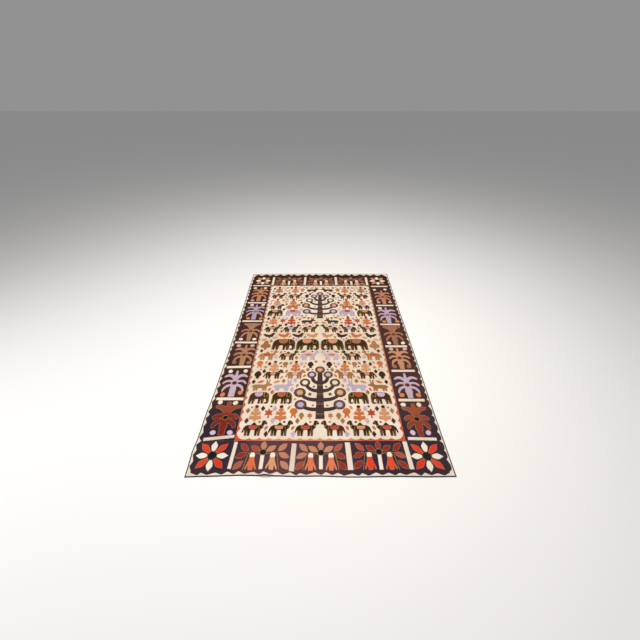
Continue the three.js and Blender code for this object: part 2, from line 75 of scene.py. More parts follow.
def linear(colour):
    """A colour written as 0xRRGGBB, as the shader's linear red, green, blue and alpha."""
    parts = [(colour >> shift & 255) / 255 for shift in (16, 8, 0)]
    return [p / 12.92 if p < 0.04045 else ((p + 0.055) / 1.055) ** 2.4 for p in parts] + [1.0]


def set_inputs(node, inputs):
    """Sets the inputs of a shader node: each to a value, or joined to a socket of another node."""
    for socket, value in inputs.items():
        if isinstance(value, bpy.types.NodeSocket):
            node.id_data.links.new(value, node.inputs[socket])
        else:
            node.inputs[socket].default_value = value


def new_material(name):
    """A material, the tree of its nodes and its shader."""
    material = bpy.data.materials.new(name)
    material.use_nodes = True
    return material, material.node_tree, material.node_tree.nodes["Principled BSDF"]


def soft_light(name, place, aim, size, power, colour):
    lamp = bpy.data.lights.new(name, "AREA")
    lamp.shape = "DISK"
    lamp.size = size
    lamp.energy = power
    lamp.color = linear(colour)[:3]
    light = new_object(name, lamp)
    light.location = place
    light.rotation_euler = (Vector(aim) - Vector(place)).to_track_quat("-Z", "Y").to_euler()


camera = new_object("camera", bpy.data.cameras.new("camera"))
camera.data.lens = CAMERA_LENS
camera.location = CAMERA_PLACE
camera.rotation_euler = (CAMERA_TILT, 0.0, 0.0)
bpy.context.scene.camera = camera
bpy.context.scene.view_settings.view_transform = "Standard"
soft_light("overhead", place=(0.15, 0.0, 2.6), aim=(0.0, 0.1, 0.0), size=3.0, power=76.0, colour=0xFFFAF2)
soft_light("side", place=(-2.6, -1.2, 1.5), aim=(0.0, 0.0, 0.0), size=1.6, power=22.0, colour=0xFFFFFF)

world = bpy.data.worlds.new("studio")
world.use_nodes = True
set_inputs(world.node_tree.nodes["Background"], {"Color": linear(0xD0D0D0), "Strength": 0.45})
bpy.context.scene.world = world

floor_paint, _, floor_shader = new_material("floor_paint")
set_inputs(floor_shader, {"Base Color": linear(0xF2F2F2), "Roughness": 0.7})
floor_mesh = bpy.data.meshes.new("floor")
half = FLOOR_SIZE / 2
floor_corners = [(-half, -half, 0), (half, -half, 0), (half, half, 0), (-half, half, 0)]
floor_mesh.from_pydata(floor_corners, [], [(0, 1, 2, 3)])
floor_mesh.materials.append(floor_paint)
floor = new_object("floor", floor_mesh)

# The ground cloth
# One cream cotton sheet of plain weave, which carries every patch. It lies on the floor, a little
# drawn up by the sewing all over, and has one raised ripple at its near edge.
CLOTH_THICKNESS = 1.2 * MM
GRID = 9.0 * MM
RIPPLE = {"x": -240 * MM, "half_width": 46 * MM, "reach": 100 * MM, "height": 11 * MM}
# The slow waves and fine puckers of the cloth: how high, how many to a metre, and the draw that
# they take from the noise.
WAVES = {"height": 1.5 * MM, "across": 3.1, "along": 2.2, "draw": 0.7, "raised": 0.25}
PUCKERS = {"height": 0.55 * MM, "across": 19.0, "along": 15.0, "draw": 3.1}
CREAM = 0xF0E4D6
CREAM_AGED = 0xE0CCB4
NEAR_EDGE = frame_box[0].y
# Two places closer than this are one, in metres, and a face whose normal rises more faces up.
ONE_PLACE = 1e-6
FACES_UP = 0.5


def ripple(x, y):
    """Height of the raised ripple at a place on the cloth."""
    shrink = 1 - (y - NEAR_EDGE) / RIPPLE["reach"]
    if shrink <= 0:
        return 0.0
    across = (x - RIPPLE["x"]) / (RIPPLE["half_width"] * shrink)
    return RIPPLE["height"] * shrink * math.cos(math.pi / 2 * across) ** 2 if abs(across) < 1 else 0.0


def cloth_lift(x, y):
    """Height of the underside of the cloth above the floor."""
    slow, fine = [
        noise.noise(Vector((x * kind["across"], y * kind["along"], kind["draw"])))
        for kind in (WAVES, PUCKERS)
    ]
    waves = WAVES["height"] * max(slow + WAVES["raised"], 0)
    return ripple(x, y) + waves + PUCKERS["height"] * (fine + 1) / 2


def outlines_of(node):
    """The closed outlines of the upper face of a CAD node, as lists of places (x, y)."""
    bm = bmesh.new()
    bm.from_mesh(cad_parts[node].data)
    bmesh.ops.remove_doubles(bm, verts=bm.verts, dist=ONE_PLACE)
    follows = {}
    for face in bm.faces:
        if face.normal.z < FACES_UP:
            continue
        for loop in face.loops:
            if all(other == face or other.normal.z < FACES_UP for other in loop.edge.link_faces):
                follows[loop.vert] = loop.link_loop_next.vert
    outlines = []
    while follows:
        start = next(iter(follows))
        outline, vert = [], start
        while vert in follows:
            outline.append((vert.co.x, vert.co.y))
            vert = follows.pop(vert)
        outlines.append(outline)
    bm.free()
    return outlines


def cut_by_grid(bm, pitch):
    """Cuts a mesh along the lines of a square grid, so that it can follow the cloth under it."""
    for axis in (0, 1):
        places = [v.co[axis] for v in bm.verts]
        for step in range(math.ceil(min(places) / pitch), math.floor(max(places) / pitch) + 1):
            line = Vector((0, 0, 0))
            line[axis] = step * pitch
            across = Vector((axis == 0, axis == 1, 0))
            everything = bm.verts[:] + bm.edges[:] + bm.faces[:]
            bmesh.ops.bisect_plane(bm, geom=everything, plane_co=line, plane_no=across, dist=ONE_PLACE)


def new_mesh(name, points, faces, material, hem=None, scrap=None):
    """A smooth mesh. Each of its points has two marks: whether it is on a turned-in edge, and how
    far its scrap of cloth has faded more or less than others."""
    mesh = bpy.data.meshes.new(name)
    mesh.from_pydata(points, [], faces)
    for mark, values in (("hem", hem), ("scrap", scrap)):
        attribute = mesh.attributes.new(mark, "FLOAT", "POINT")
        attribute.data.foreach_set("value", values or [0.0] * len(points))
    mesh.polygons.foreach_set("use_smooth", [True] * len(faces))
    mesh.materials.append(material)
    piece = new_object(name, mesh)
    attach(piece, "root")
    return piece


def group_of_nodes(name, inputs, outputs):
    """An empty node group, with its named inputs and outputs and their kinds and usual values."""
    group = bpy.data.node_groups.new(name, "ShaderNodeTree")
    for socket, kind, usual in inputs:
        made = group.interface.new_socket(socket, in_out="INPUT", socket_type=kind)
        made.default_value = usual
    for socket, kind in outputs:
        group.interface.new_socket(socket, in_out="OUTPUT", socket_type=kind)
    return group, group.nodes.new("NodeGroupInput"), group.nodes.new("NodeGroupOutput")


def new_node(tree, kind, inputs, operation=None):
    """A shader node of a kind that Blender names, with its inputs set."""
    node = tree.nodes.new(f"ShaderNode{kind}")
    if operation:
        node.operation = operation
    set_inputs(node, inputs)
    return node


def maths(tree, operation, *values):
    """The result of one step of arithmetic on numbers or sockets."""
    return new_node(tree, "Math", dict(enumerate(values)), operation).outputs["Value"]


def places_on(tree):
    """The place on the cloth, in metres, of the point that is shaded."""
    return tree.nodes.new("ShaderNodeTexCoord").outputs["Object"]


def cloudy(tree, places, scale, detail=2.0, contrast=1.0, stretch=(1.0, 1.0, 1.0)):
    """Soft cloudy noise from 0 to 1 over the places of a surface."""
    stretched = new_node(tree, "VectorMath", {0: places, 1: stretch}, "MULTIPLY").outputs["Vector"]
    cloud = new_node(tree, "TexNoise", {"Vector": stretched, "Scale": scale, "Detail": detail})
    reach = 0.25 / contrast
    ends = {"From Min": 0.5 - reach, "From Max": 0.5 + reach}
    return new_node(tree, "MapRange", {"Value": cloud.outputs["Fac"], **ends}).outputs["Result"]


def blended(tree, amount, first, second, how="MIX"):
    """A colour mixed from two others, each a socket or a colour."""
    node = tree.nodes.new("ShaderNodeMix")
    node.data_type = "RGBA"
    node.blend_type = how
    set_inputs(node, {0: amount, 6: first, 7: second})
    return node.outputs[2]


def plain_weave():
    """Threads over and under each other, uneven as hand-spun cotton is: their height and shade."""
    inputs = [("Threads per metre", "NodeSocketFloat", 900.0), ("Slub", "NodeSocketFloat", 0.5)]
    outputs = [("Height", "NodeSocketFloat"), ("Shade", "NodeSocketFloat")]
    group, given, out = group_of_nodes("plain_weave", inputs, outputs)
    places = places_on(group)
    parts = new_node(group, "SeparateXYZ", {0: places}).outputs
    turns = maths(group, "MULTIPLY", given.outputs["Threads per metre"], math.pi)
    waves = [maths(group, "SINE", maths(group, "MULTIPLY", parts[axis], turns)) for axis in (0, 1)]
    crossing = maths(group, "MULTIPLY", *waves)
    warp = cloudy(group, places, scale=10.0, stretch=(90.0, 4.0, 1.0))
    weft = cloudy(group, places, scale=10.0, stretch=(4.0, 90.0, 1.0))
    slubs = maths(group, "MULTIPLY", maths(group, "ADD", warp, weft), given.outputs["Slub"])
    height = maths(group, "ADD", maths(group, "MULTIPLY_ADD", crossing, 0.3, 0.3), slubs)
    set_inputs(out, {"Height": height, "Shade": maths(group, "MULTIPLY", slubs, 0.5)})
    return group


def long_use():
    """Years of hanging and folding: faded areas, rubbed turned-in edges and a little soiling."""
    close_share, edge_wear, thread_contrast = 0.35, 0.5, 0.22
    least_rough, rough_spread = 0.8, 0.12
    inputs = [
        ("Colour", "NodeSocketColor", (0.8, 0.8, 0.8, 1.0)),
        ("Faded", "NodeSocketColor", (0.9, 0.9, 0.9, 1.0)),
        ("Fading", "NodeSocketFloat", 0.5),
        ("Soiling", "NodeSocketFloat", 0.2),
        ("Thread shade", "NodeSocketFloat", 0.5),
    ]
    outputs = [("Colour", "NodeSocketColor"), ("Roughness", "NodeSocketFloat")]
    group, given, out = group_of_nodes("long_use", inputs, outputs)
    places = places_on(group)
    marks = {}
    for mark in ("hem", "scrap"):
        node = group.nodes.new("ShaderNodeAttribute")
        node.attribute_name = mark
        marks[mark] = node.outputs["Fac"]
    broad = cloudy(group, places, scale=4.5, detail=3.0)
    close = cloudy(group, places, scale=38.0, detail=3.0)
    broad_part = maths(group, "MULTIPLY", broad, 1 - close_share)
    mottled = maths(group, "MULTIPLY_ADD", close, close_share, broad_part)
    uneven = maths(group, "MULTIPLY", mottled, given.outputs["Fading"])
    rubbed = maths(group, "MULTIPLY_ADD", marks["hem"], edge_wear, marks["scrap"])
    fade = maths(group, "MULTIPLY_ADD", rubbed, given.outputs["Fading"], uneven)
    colour = blended(group, fade, given.outputs["Colour"], given.outputs["Faded"])
    shade = given.outputs["Thread shade"]
    threads = maths(group, "MULTIPLY_ADD", shade, thread_contrast, 1 - thread_contrast / 2)
    grey = new_node(group, "CombineColor", {channel: threads for channel in range(3)}).outputs[0]
    colour = blended(group, 1.0, colour, grey, "MULTIPLY")
    stains = cloudy(group, places, scale=7.0, detail=5.0, contrast=2.2)
    dirt = maths(group, "MULTIPLY", stains, given.outputs["Soiling"])
    colour = blended(group, dirt, colour, linear(0xA88C63), "MULTIPLY")
    rough = maths(group, "MULTIPLY_ADD", close, rough_spread, least_rough)
    set_inputs(out, {"Colour": colour, "Roughness": rough})
    return group


WEAVE = plain_weave()
LONG_USE = long_use()


def dye_by_place(tree, axis, stops):
    """A dye that changes along one axis of the cloth: stops are (place in mm, colour)."""
    wander = 50 * MM
    places = places_on(tree)
    along = new_node(tree, "SeparateXYZ", {0: places}).outputs[axis]
    wandering = maths(tree, "MULTIPLY_ADD", cloudy(tree, places, scale=9.0), wander, along)
    low, high = stops[0][0] * MM, stops[-1][0] * MM
    ends = {"From Min": low + wander / 2, "From Max": high + wander / 2}
    share = new_node(tree, "MapRange", {"Value": wandering, **ends})
    ramp = new_node(tree, "ValToRGB", {"Fac": share.outputs["Result"]})
    elements = ramp.color_ramp.elements
    for place, colour in stops[1:-1]:
        elements.new((place * MM - low) / (high - low)).color = linear(colour)
    elements[0].color = linear(stops[0][1])
    elements[-1].color = linear(stops[-1][1])
    return ramp.outputs["Color"]


def cotton(name, colour, faded, fading=0.35, soiling=0.1, axis=None, stops=None):
    """Dyed cotton cloth. With stops, the dye changes along that axis of the cloth."""
    material, tree, shader = new_material(name)
    weave = tree.nodes.new("ShaderNodeGroup")
    weave.node_tree = WEAVE
    used = tree.nodes.new("ShaderNodeGroup")
    used.node_tree = LONG_USE
    dye = dye_by_place(tree, axis, stops) if stops else linear(colour)
    set_inputs(used, {
        "Colour": dye,
        "Faded": linear(faded),
        "Fading": fading,
        "Soiling": soiling,
        "Thread shade": weave.outputs["Shade"],
    })
    height = weave.outputs["Height"]
    bump = new_node(tree, "Bump", {"Strength": 0.5, "Distance": 0.25 * MM, "Height": height})
    set_inputs(shader, {
        "Base Color": used.outputs["Colour"],
        "Roughness": used.outputs["Roughness"],
        "Normal": bump.outputs["Normal"],
        "Specular IOR Level": 0.12,
        "Sheen Weight": 0.04,
        "Sheen Roughness": 0.5,
    })
    return material


# The cream is duller in the middle than at the two ends, and lightest at the far end.
cream_stops = [
    (-930, CREAM), (-560, CREAM), (-330, 0xE9DCCC), (-100, 0xE0D3C1), (150, 0xE4D7C5), (400, 0xF3E8DA),
    (930, 0xF9EEE0),
]
cream_cotton = cotton("cream_cotton", CREAM, CREAM_AGED, fading=0.5, soiling=0.18, axis=1, stops=cream_stops)
(outline,) = outlines_of("ground_cloth")
cloth = bmesh.new()
cloth.faces.new([cloth.verts.new((x, y, 0)) for x, y in outline])
cut_by_grid(cloth, GRID)
cloth.verts.index_update()
points = [(v.co.x, v.co.y, cloth_lift(v.co.x, v.co.y) + CLOTH_THICKNESS) for v in cloth.verts]
ground = new_mesh("ground", points, [[v.index for v in face.verts] for face in cloth.faces], cream_cotton)
cloth.free()
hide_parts("ground_cloth")

# The binding
# A narrow strip of dark cotton, folded over the raw edge of the ground on all four sides and
# sewn down. It is a flattened roll, so it stands a little above the cloth.
BINDING_HEIGHT = 2.0 * MM
BINDING_DARK = 0x34323E
BINDING_FADED = 0x575360
# How a turned-in edge climbs: how far in, in mm, and the share of the thickness reached there.
TURNED_EDGE = [(0.0, 0.0), (0.35, 0.7), (1.3, 1.0)]
# The least and the most of a strip of cloth that the patches cut from it take up.
CUT_FROM_STRIP = (0.35, 0.98)
# How two scraps of one dye differ: where each takes its shade from, and by how much at most.
SCRAPS = {"across": 97, "along": 83, "draw": 5.3, "most": 1.5}


def inset(outline, depth):
    """An outline moved inwards, with the same number of places. No sharp corner moves too far."""
    sharpest = 0.35
    moved = []
    for i, place in enumerate(outline):
        before = (Vector(place) - Vector(outline[i - 1])).normalized()
        after = (Vector(outline[(i + 1) % len(outline)]) - Vector(place)).normalized()
        normals = [Vector((-edge.y, edge.x)) for edge in (before, after)]
        miter = (normals[0] + normals[1]) / max(1 + normals[0].dot(normals[1]), sharpest)
        moved.append(tuple(Vector(place) + miter * depth))
    return moved


def flat_size(outlines, folds):
    """Width, length and area of the cloth that pieces are cut from, laid side by side."""
    widths, lengths, area = [], [], 0.0
    for outline in outlines:
        xs, ys = zip(*outline)
        widths.append(max(xs) - min(xs))
        lengths.append(max(ys) - min(ys))
        pairs = zip(outline, outline[1:] + outline[:1])
        area += folds * abs(sum(ax * by - bx * ay for (ax, ay), (bx, by) in pairs)) / 2
    length = max(lengths)
    wide, narrow = [area / (share * length) for share in CUT_FROM_STRIP]
    return max(narrow, min(sum(widths), wide)), length, area


# The turned-in edges that wait for each sewing thread.
seams = {}


class Patches:
    """Pieces of one cloth with their edges turned in, gathered into one mesh."""

    def __init__(self):
        self.points, self.faces, self.hem, self.scrap, self.seams = [], [], [], [], []

    def add(self, outline, base, rise):
        """A patch that lies base above the underside of the cloth and is rise thick."""
        bm = bmesh.new()
        hem = bm.verts.layers.float.new("hem")
        rings = []
        for depth, share in TURNED_EDGE:
            ring = [bm.verts.new((x, y, share * rise)) for x, y in inset(outline, depth * MM)]
            for vert in ring:
                vert[hem] = float(share < 1)
            rings.append(ring)
        for outer, inner in zip(rings, rings[1:]):
            for i in range(len(outline)):
                j = (i + 1) % len(outline)
                bm.faces.new([outer[i], outer[j], inner[j], inner[i]])
        bm.faces.new(rings[-1])
        cut_by_grid(bm, GRID)
        bm.verts.index_update()
        first = len(self.points)
        x, y = outline[0]
        draw = Vector((x * SCRAPS["across"], y * SCRAPS["along"], SCRAPS["draw"]))
        own = noise.noise(draw) * SCRAPS["most"]
        for v in bm.verts:
            self.points.append((v.co.x, v.co.y, cloth_lift(v.co.x, v.co.y) + base + v.co.z))
            self.hem.append(v[hem])
            self.scrap.append(own)
        self.faces += [[first + v.index for v in face.verts] for face in bm.faces]
        self.seams.append((outline, base, rise))
        bm.free()
        return self

    def sewn(self, name, material, slot, *nodes, thread="peach", folds=1.0, held="stretched"):
        """The finished piece, which stands for the CAD nodes named. Cloth that is folded under itself
        has so many folds times the area that shows, but the size worked out from it is not used."""
        piece = new_mesh(name, self.points, self.faces, material, self.hem, self.scrap)
        if nodes:
            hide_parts(*nodes)
        width, length, area = flat_size([outline for outline, _, _ in self.seams], folds)
        if thread:
            seams.setdefault(thread, []).extend(self.seams)
        return piece


binding_cotton = cotton("binding_cotton", BINDING_DARK, BINDING_FADED, fading=0.5, soiling=0.15)
for side in ("near", "far", "left", "right"):
    (outline,) = outlines_of(f"binding_{side}")
    strip = Patches().add(outline, 0.0, BINDING_HEIGHT)
    strip.sewn(
        f"binding_strip_{side}", binding_cotton, "binding_cotton", f"binding_{side}",
        thread=None, folds=2.0, held="folded",
    )

# The border
# Four strips of dark cotton, their outer edge cut into points and scallops that leave a cream
# zigzag of ground beside the binding. The dye has gone from navy to plum and brown.
PATCH_RISE = 1.1 * MM
# How far a patch is pressed into the cloth that it is sewn on.
PRESSED = 0.1 * MM
ON_CLOTH = CLOTH_THICKNESS - PRESSED
ON_BORDER = ON_CLOTH + PATCH_RISE - PRESSED
NAVY = 0x1E1B30
PLUM = 0x57343D
AUBERGINE = 0x3B1F20
BORDER_FADED = 0x6B4944


def round_corner(before, here, after, radius, steps, most):
    """The curve that cuts off a corner: at most a share of each side goes to it."""
    start = here + before.normalized() * min(radius, before.length * most)
    end = here + after.normalized() * min(radius, after.length * most)
    return [tuple((start * (1 - t) + here * t) * (1 - t) + (here * (1 - t) + end * t) * t) for t in steps]


def rounded(outline, radius, sharpest=50, straightest=172):
    """An outline with its corners cut round, but for sharp points and almost straight ones, both
    given in degrees."""
    smooth = []
    for i, place in enumerate(outline):
        here = Vector(place)
        before, after = Vector(outline[i - 1]) - here, Vector(outline[(i + 1) % len(outline)]) - here
        if sharpest <= math.degrees(before.angle(after, math.pi)) <= straightest:
            smooth += round_corner(before, here, after, radius, steps=(0.0, 0.33, 0.67, 1.0), most=0.45)
        else:
            smooth.append(tuple(here))
    return smooth


def cut_to(node, base, radius=0.0):
    """A patch cut to the outline of a CAD node, with its corners rounded."""
    outline = max(outlines_of(node), key=len)
    return Patches().add(rounded(outline, radius) if radius else outline, base, PATCH_RISE)


end_stops = [
    (-600, NAVY), (-405, NAVY), (-345, 0x462D38), (-300, PLUM), (20, 0x54343E), (110, 0x382434),
    (190, 0x241D31), (600, NAVY),
]
side_stops = [
    (-930, NAVY), (-620, 0x221C2E), (-500, AUBERGINE), (60, 0x3E201B), (500, 0x391C14), (930, 0x361A11),
]
border_dyes = {
    "near": cotton("border_near_cotton", NAVY, BORDER_FADED, fading=0.2, axis=0, stops=end_stops),
    "side": cotton("border_side_cotton", NAVY, BORDER_FADED, fading=0.16, axis=1, stops=side_stops),
    "far": cotton("border_far_cotton", 0x3C1B0E, BORDER_FADED, fading=0.16),
}
for side, dye in (("near", "near"), ("far", "far"), ("left", "side"), ("right", "side")):
    strip = cut_to(f"border_{side}", ON_CLOTH, radius=5 * MM)
    strip.sewn(f"border_strip_{side}", border_dyes[dye], "border_cotton", f"border_{side}", thread="dark")

# The toothed strips
# Four narrow strips between border and field. Their inner edge is cut into hollow scallops that
# leave sharp cusps, red-orange near the corners and paler or browner further along.
RED = 0xD9402A
RED_FADED = 0xE59A76
near_teeth = [
    (-412, RED), (-330, 0xDB5A36), (-220, 0xDC8A68), (120, 0xD98A6C), (215, 0xC9452F), (412, 0xDB4A2C),
]
left_teeth = [(-730, 0xD04529), (-590, 0xB95A3A), (-420, 0xAC714E), (100, 0x9E6445), (730, 0x965C3F)]
right_teeth = [(-730, 0xD64225), (-540, 0xC64B2D), (-440, 0xBB734D), (100, 0xAB6B48), (730, 0xA16544)]
tooth_dyes = {
    "near": cotton("teeth_near_cotton", RED, RED_FADED, fading=0.3, axis=0, stops=near_teeth),
    "far": cotton("teeth_far_cotton", 0xB77A58, 0xC99A7C, fading=0.3),
    "left": cotton("teeth_left_cotton", RED, RED_FADED, fading=0.25, axis=1, stops=left_teeth),
    "right": cotton("teeth_right_cotton", RED, RED_FADED, fading=0.25, axis=1, stops=right_teeth),
}
tooth_slots = {
    "near": "red_cotton", "far": "tan_cotton", "left": "terracotta_cotton", "right": "terracotta_cotton",
}
for side, slot in tooth_slots.items():
    strip = cut_to(f"zigzag_{side}", ON_CLOTH)
    strip.sewn(f"toothed_strip_{side}", tooth_dyes[side], slot, f"zigzag_{side}")

# The cream bars
# Straight strips of the ground's own cotton, sewn on the border to part it into panels: 7 down
# each side and 4 across each end.
bar_cotton = cotton("bar_cotton", 0xEEE0D1, 0xDCC7B3, fading=0.4, soiling=0.14)
bar_counts = {"left": 7, "right": 7, "near": 4, "far": 4}
for name in [f"{side}_{i + 1}" for side, count in bar_counts.items() for i in range(count)]:
    bar = cut_to(f"bar_{name}", ON_BORDER, radius=2 * MM)
    bar.sewn(f"cream_bar_{name}", bar_cotton, "cream_cotton", f"bar_{name}", thread="cream")

# The palms
# One palm of dyed cotton in each side panel, cut in one piece: trunk, three pairs of fronds and the
# top. The palms of the first panels have gone from terracotta to dark red towards their foot.
palm_dyes = {
    "left_1": (0x8E3420, 0xA05A3C, "terracotta_cotton"),
    "left_2": (0xB7A0B6, 0xCAB8C6, "lilac_cotton"),
    "left_3": (0xA6724C, 0xBE947E, "tan_cotton"),
    "left_4": (0x9A6546, 0xB28873, "tan_cotton"),
    "left_5": (0xA88FAE, 0xC2ADBE, "lilac_cotton"),
    "left_6": (0xBC7F5A, 0xCEA088, "orange_cotton"),
    "right_1": (0x8E2F1C, 0xA05436, "terracotta_cotton"),
    "right_2": (0xBFABC0, 0xD0C2CE, "lilac_cotton"),
    "right_3": (0xBA7850, 0xCA967A, "orange_cotton"),
    "right_4": (0x9A6042, 0xB0826E, "tan_cotton"),
    "right_5": (0xB9A2BE, 0xCFBECE, "lilac_cotton"),
    "right_6": (0xC18466, 0xD2A48C, "orange_cotton"),
}
# The dye of a first palm, in mm above its foot.
first_palm_dyes = [(0, 0x781B14), (95, 0x7C2718), (135, 0x90452B), (200, 0x90452B)]
for name, (colour, faded, slot) in palm_dyes.items():
    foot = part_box(f"palm_{name}")[0].y / MM
    stops = [(foot + up, dye) for up, dye in first_palm_dyes] if name.endswith("_1") else None
    dyed = cotton(f"palm_cotton_{name}", colour, faded, fading=0.45, soiling=0.12, axis=1, stops=stops)
    palm = cut_to(f"palm_{name}", ON_BORDER, radius=3 * MM)
    palm.sewn(f"palm_patch_{name}", dyed, slot, f"palm_{name}")

# The discs
# A small dark round sewn over the heart of every palm, flower and spray, inside a ring of gold
# thread couched down in short stitches.
ON_PATCH = ON_BORDER + PATCH_RISE - PRESSED
DISC_RISE = 0.8 * MM
PALM_DISC = 12.5 * MM
RING_ROOM = 2 * MM
GOLD = 0xB08C3C
GOLD_WORN = 0x94783E
# The thread between two stitches, and the share of it that is left where a stitch ties it down.
THREAD = {"width": 2.8 * MM, "height": 1.0 * MM, "stitch": 4.0 * MM, "tied": 0.62}
disc_colours = {
    "black": (0x17141C, 0x3B3138), "brown": (0x4A2416, 0x6E4632), "rust": (0x6E3016, 0x8E5434),
    "clay": (0x9A6450, 0xB48A76),
}
disc_dyes = {
    dye: cotton(f"disc_{dye}_cotton", *colours, fading=0.3, soiling=0.05)
    for dye, colours in disc_colours.items()
}
panel_discs = {1: "black", 2: "brown", 3: "rust", 4: "rust", 5: "clay", 6: "rust"}


def disc(x, y, radius, corners=20):
    turns = [2 * math.pi * i / corners for i in range(corners)]
    return [(x + radius * math.cos(turn), y + radius * math.sin(turn)) for turn in turns]


class GoldThread:
    """Twisted gold thread, laid along lines on the cloth and tied down stitch by stitch."""

    def __init__(self):
        self.points, self.faces = [], []

    def lay(self, line, base, closed=False, width=THREAD["width"]):
        """A thread along a line, base above the underside of the cloth."""
        places = [Vector(place) for place in line] + ([Vector(line[0])] if closed else [])
        half_stitch = THREAD["stitch"] / 2
        steps = []
        for start, end in zip(places, places[1:]):
            count = max(1, round((end - start).length / half_stitch))
            steps += [start.lerp(end, i / count) for i in range(count)]
        steps += [] if closed else [places[-1]]
        first, count = len(self.points), len(steps)
        for i, place in enumerate(steps):
            behind = steps[i - 1] if closed or i > 0 else place
            ahead = steps[(i + 1) % count] if closed or i < count - 1 else place
            side = Vector((behind.y - ahead.y, ahead.x - behind.x)).normalized()
            full = 1.0 if i % 2 else THREAD["tied"]
            lift = cloth_lift(*place) + base
            left, right = place + side * width * full / 2, place - side * width * full / 2
            self.points.append((left.x, left.y, lift))
            self.points.append((place.x, place.y, lift + THREAD["height"] * full))
            self.points.append((right.x, right.y, lift))
        for i in range(count if closed else count - 1):
            here, there = first + 3 * i, first + 3 * ((i + 1) % count)
            self.faces.append((here, here + 1, there + 1, there))
            self.faces.append((here + 1, here + 2, there + 2, there + 1))

    def laid(self, name, material):
        """The finished piece, with all the threads in it."""
        piece = new_mesh(name, self.points, self.faces, material)


# The thread is wound with fine gilt strip: it shines a little and has worn dull in places.
gold_thread, tree, shader = new_material("gold_thread")
worn = cloudy(tree, places_on(tree), scale=60.0, detail=4.0, contrast=1.5)
set_inputs(shader, {
    "Base Color": blended(tree, worn, linear(GOLD), linear(GOLD_WORN)),
    "Roughness": maths(tree, "MULTIPLY_ADD", worn, 0.3, 0.4),
    "Metallic": 0.35,
})
# How high the palms of each panel were drawn, and how far up them the disc is, in mm.
drawn_heights = {1: 201, 2: 199, 3: 199, 4: 192, 5: 199, 6: 199}
HEART_UP = 100
palm_discs = {dye: Patches() for dye in disc_dyes}
palm_gold = GoldThread()
palm_hearts = {}
for name in palm_dyes:
    panel = int(name[-1])
    low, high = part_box(f"palm_{name}")
    heart = ((low.x + high.x) / 2, low.y + HEART_UP * (high.y - low.y) / drawn_heights[panel])
    palm_hearts[name] = heart
    palm_discs[panel_discs[panel]].add(disc(*heart, PALM_DISC), ON_PATCH, DISC_RISE)
    palm_gold.lay(disc(*heart, PALM_DISC + RING_ROOM), ON_PATCH, closed=True)
for dye, discs in palm_discs.items():
    discs.sewn(f"palm_discs_{dye}", disc_dyes[dye], "brown_cotton", thread="dark")
palm_gold.laid("palm_gold_rings", gold_thread)

# The dots
# Up to four small rounds in the corners of each side panel, cut from scraps of the lighter cloths,
# all of them a little oval.
DOT = {"radius": 14.5 * MM, "squash": 0.88, "draw": 9, "most_turn": 3}
dot_dyes = {
    "lilac": (0xCDB8D2, 0xE2D8E4, "lilac_cotton"),
    "pink": (0xC9A5A2, 0xDCC4BE, "lilac_cotton"),
    "orange": (0xD67C42, 0xE0A070, "orange_cotton"),
    "brown": (0x9C6438, 0xB48660, "tan_cotton"),
    "cream": (0xF1E8D4, 0xDDCBAC, "cream_cotton"),
}
# For each panel: the dye and the places, in mm from the disc, of the two dots at the foot and of
# the two at the top.
panel_dots = {
    "left_1": [("lilac", (-42, -88), (42, -88)), ("cream", (-51, 100), (32, 95))],
    "left_2": [("orange", (-48, -85), (47, -72)), ("cream", (-42, 93), (47, 95))],
    "left_3": [("brown", (-47, -67), (42, -71)), ("pink", (-50, 88), (39, 88))],
    "left_4": [("cream", (-51, -85), (39, -85))],
    "left_5": [("orange", (-39, -85), (53, -85)), ("cream", (-39, 91), (47, 91))],
    "left_6": [("pink", (-45, -92), (48, -88)), ("cream", (-52, 96), (32, 96))],
    "right_1": [("lilac", (-39, -80), (38, -80)), ("cream", (-51, 92), (33, 92))],
    "right_2": [("orange", (-45, -73), (46, -73))],
    "right_3": [("brown", (-45, -73), (43, -73)), ("pink", (-38, 85), (51, 85))],
    "right_4": [("cream", (-45, -89), (47, -89)), ("brown", (-43, 84), (44, 84))],
    "right_5": [("orange", (-35, -79), (58, -79)), ("cream", (-41, 90))],
    "right_6": [("pink", (-44, -76), (45, -76)), ("cream", (-52, 111), (36, 116))],
}


def oval(x, y, radius, squash, turn):
    """A round drawn out along one direction."""
    long_way, short_way = Vector((math.cos(turn), math.sin(turn))), Vector((-math.sin(turn), math.cos(turn)))
    even = disc(0, 0, radius, corners=18)
    return [tuple(Vector((x, y)) + long_way * u + short_way * v * squash) for u, v in even]


def sewn_by_dye(patches, dyes, name, kind, soiling=0.1):
    """The finished pieces of patches that were gathered dye by dye."""
    for dye, (colour, faded, slot) in dyes.items():
        dyed = cotton(f"{kind}_cotton_{dye}", colour, faded, soiling=soiling)
        patches[dye].sewn(f"{name}_{dye}", dyed, slot)


dots = {dye: Patches() for dye in dot_dyes}
for name, pairs in panel_dots.items():
    x, y = palm_hearts[name]
    for dye, across, along in [(dye, *place) for dye, *places in pairs for place in places]:
        turn = noise.noise(Vector((x * DOT["draw"], y * DOT["draw"], across))) * DOT["most_turn"]
        round_patch = oval(x + across * MM, y + along * MM, DOT["radius"], DOT["squash"], turn)
        dots[dye].add(round_patch, ON_BORDER, PATCH_RISE)
sewn_by_dye(dots, dot_dyes, "dots", "dot", soiling=0.12)

# The corner flowers
# Eight separate petals round a dark disc in each corner square: cream ones on the axes, longer red
# or orange ones on the diagonals.
FLOWER_DISC = 20 * MM
flower_dyes = {
    "near": cotton("flower_red_cotton", 0xD83620, 0xDE583A, fading=0.3, soiling=0.05),
    "far": cotton("flower_orange_cotton", 0xC9855A, 0xDBAB86),
}
petal_cotton = cotton("petal_cream_cotton", 0xF8EDDF, 0xE8D7C4)


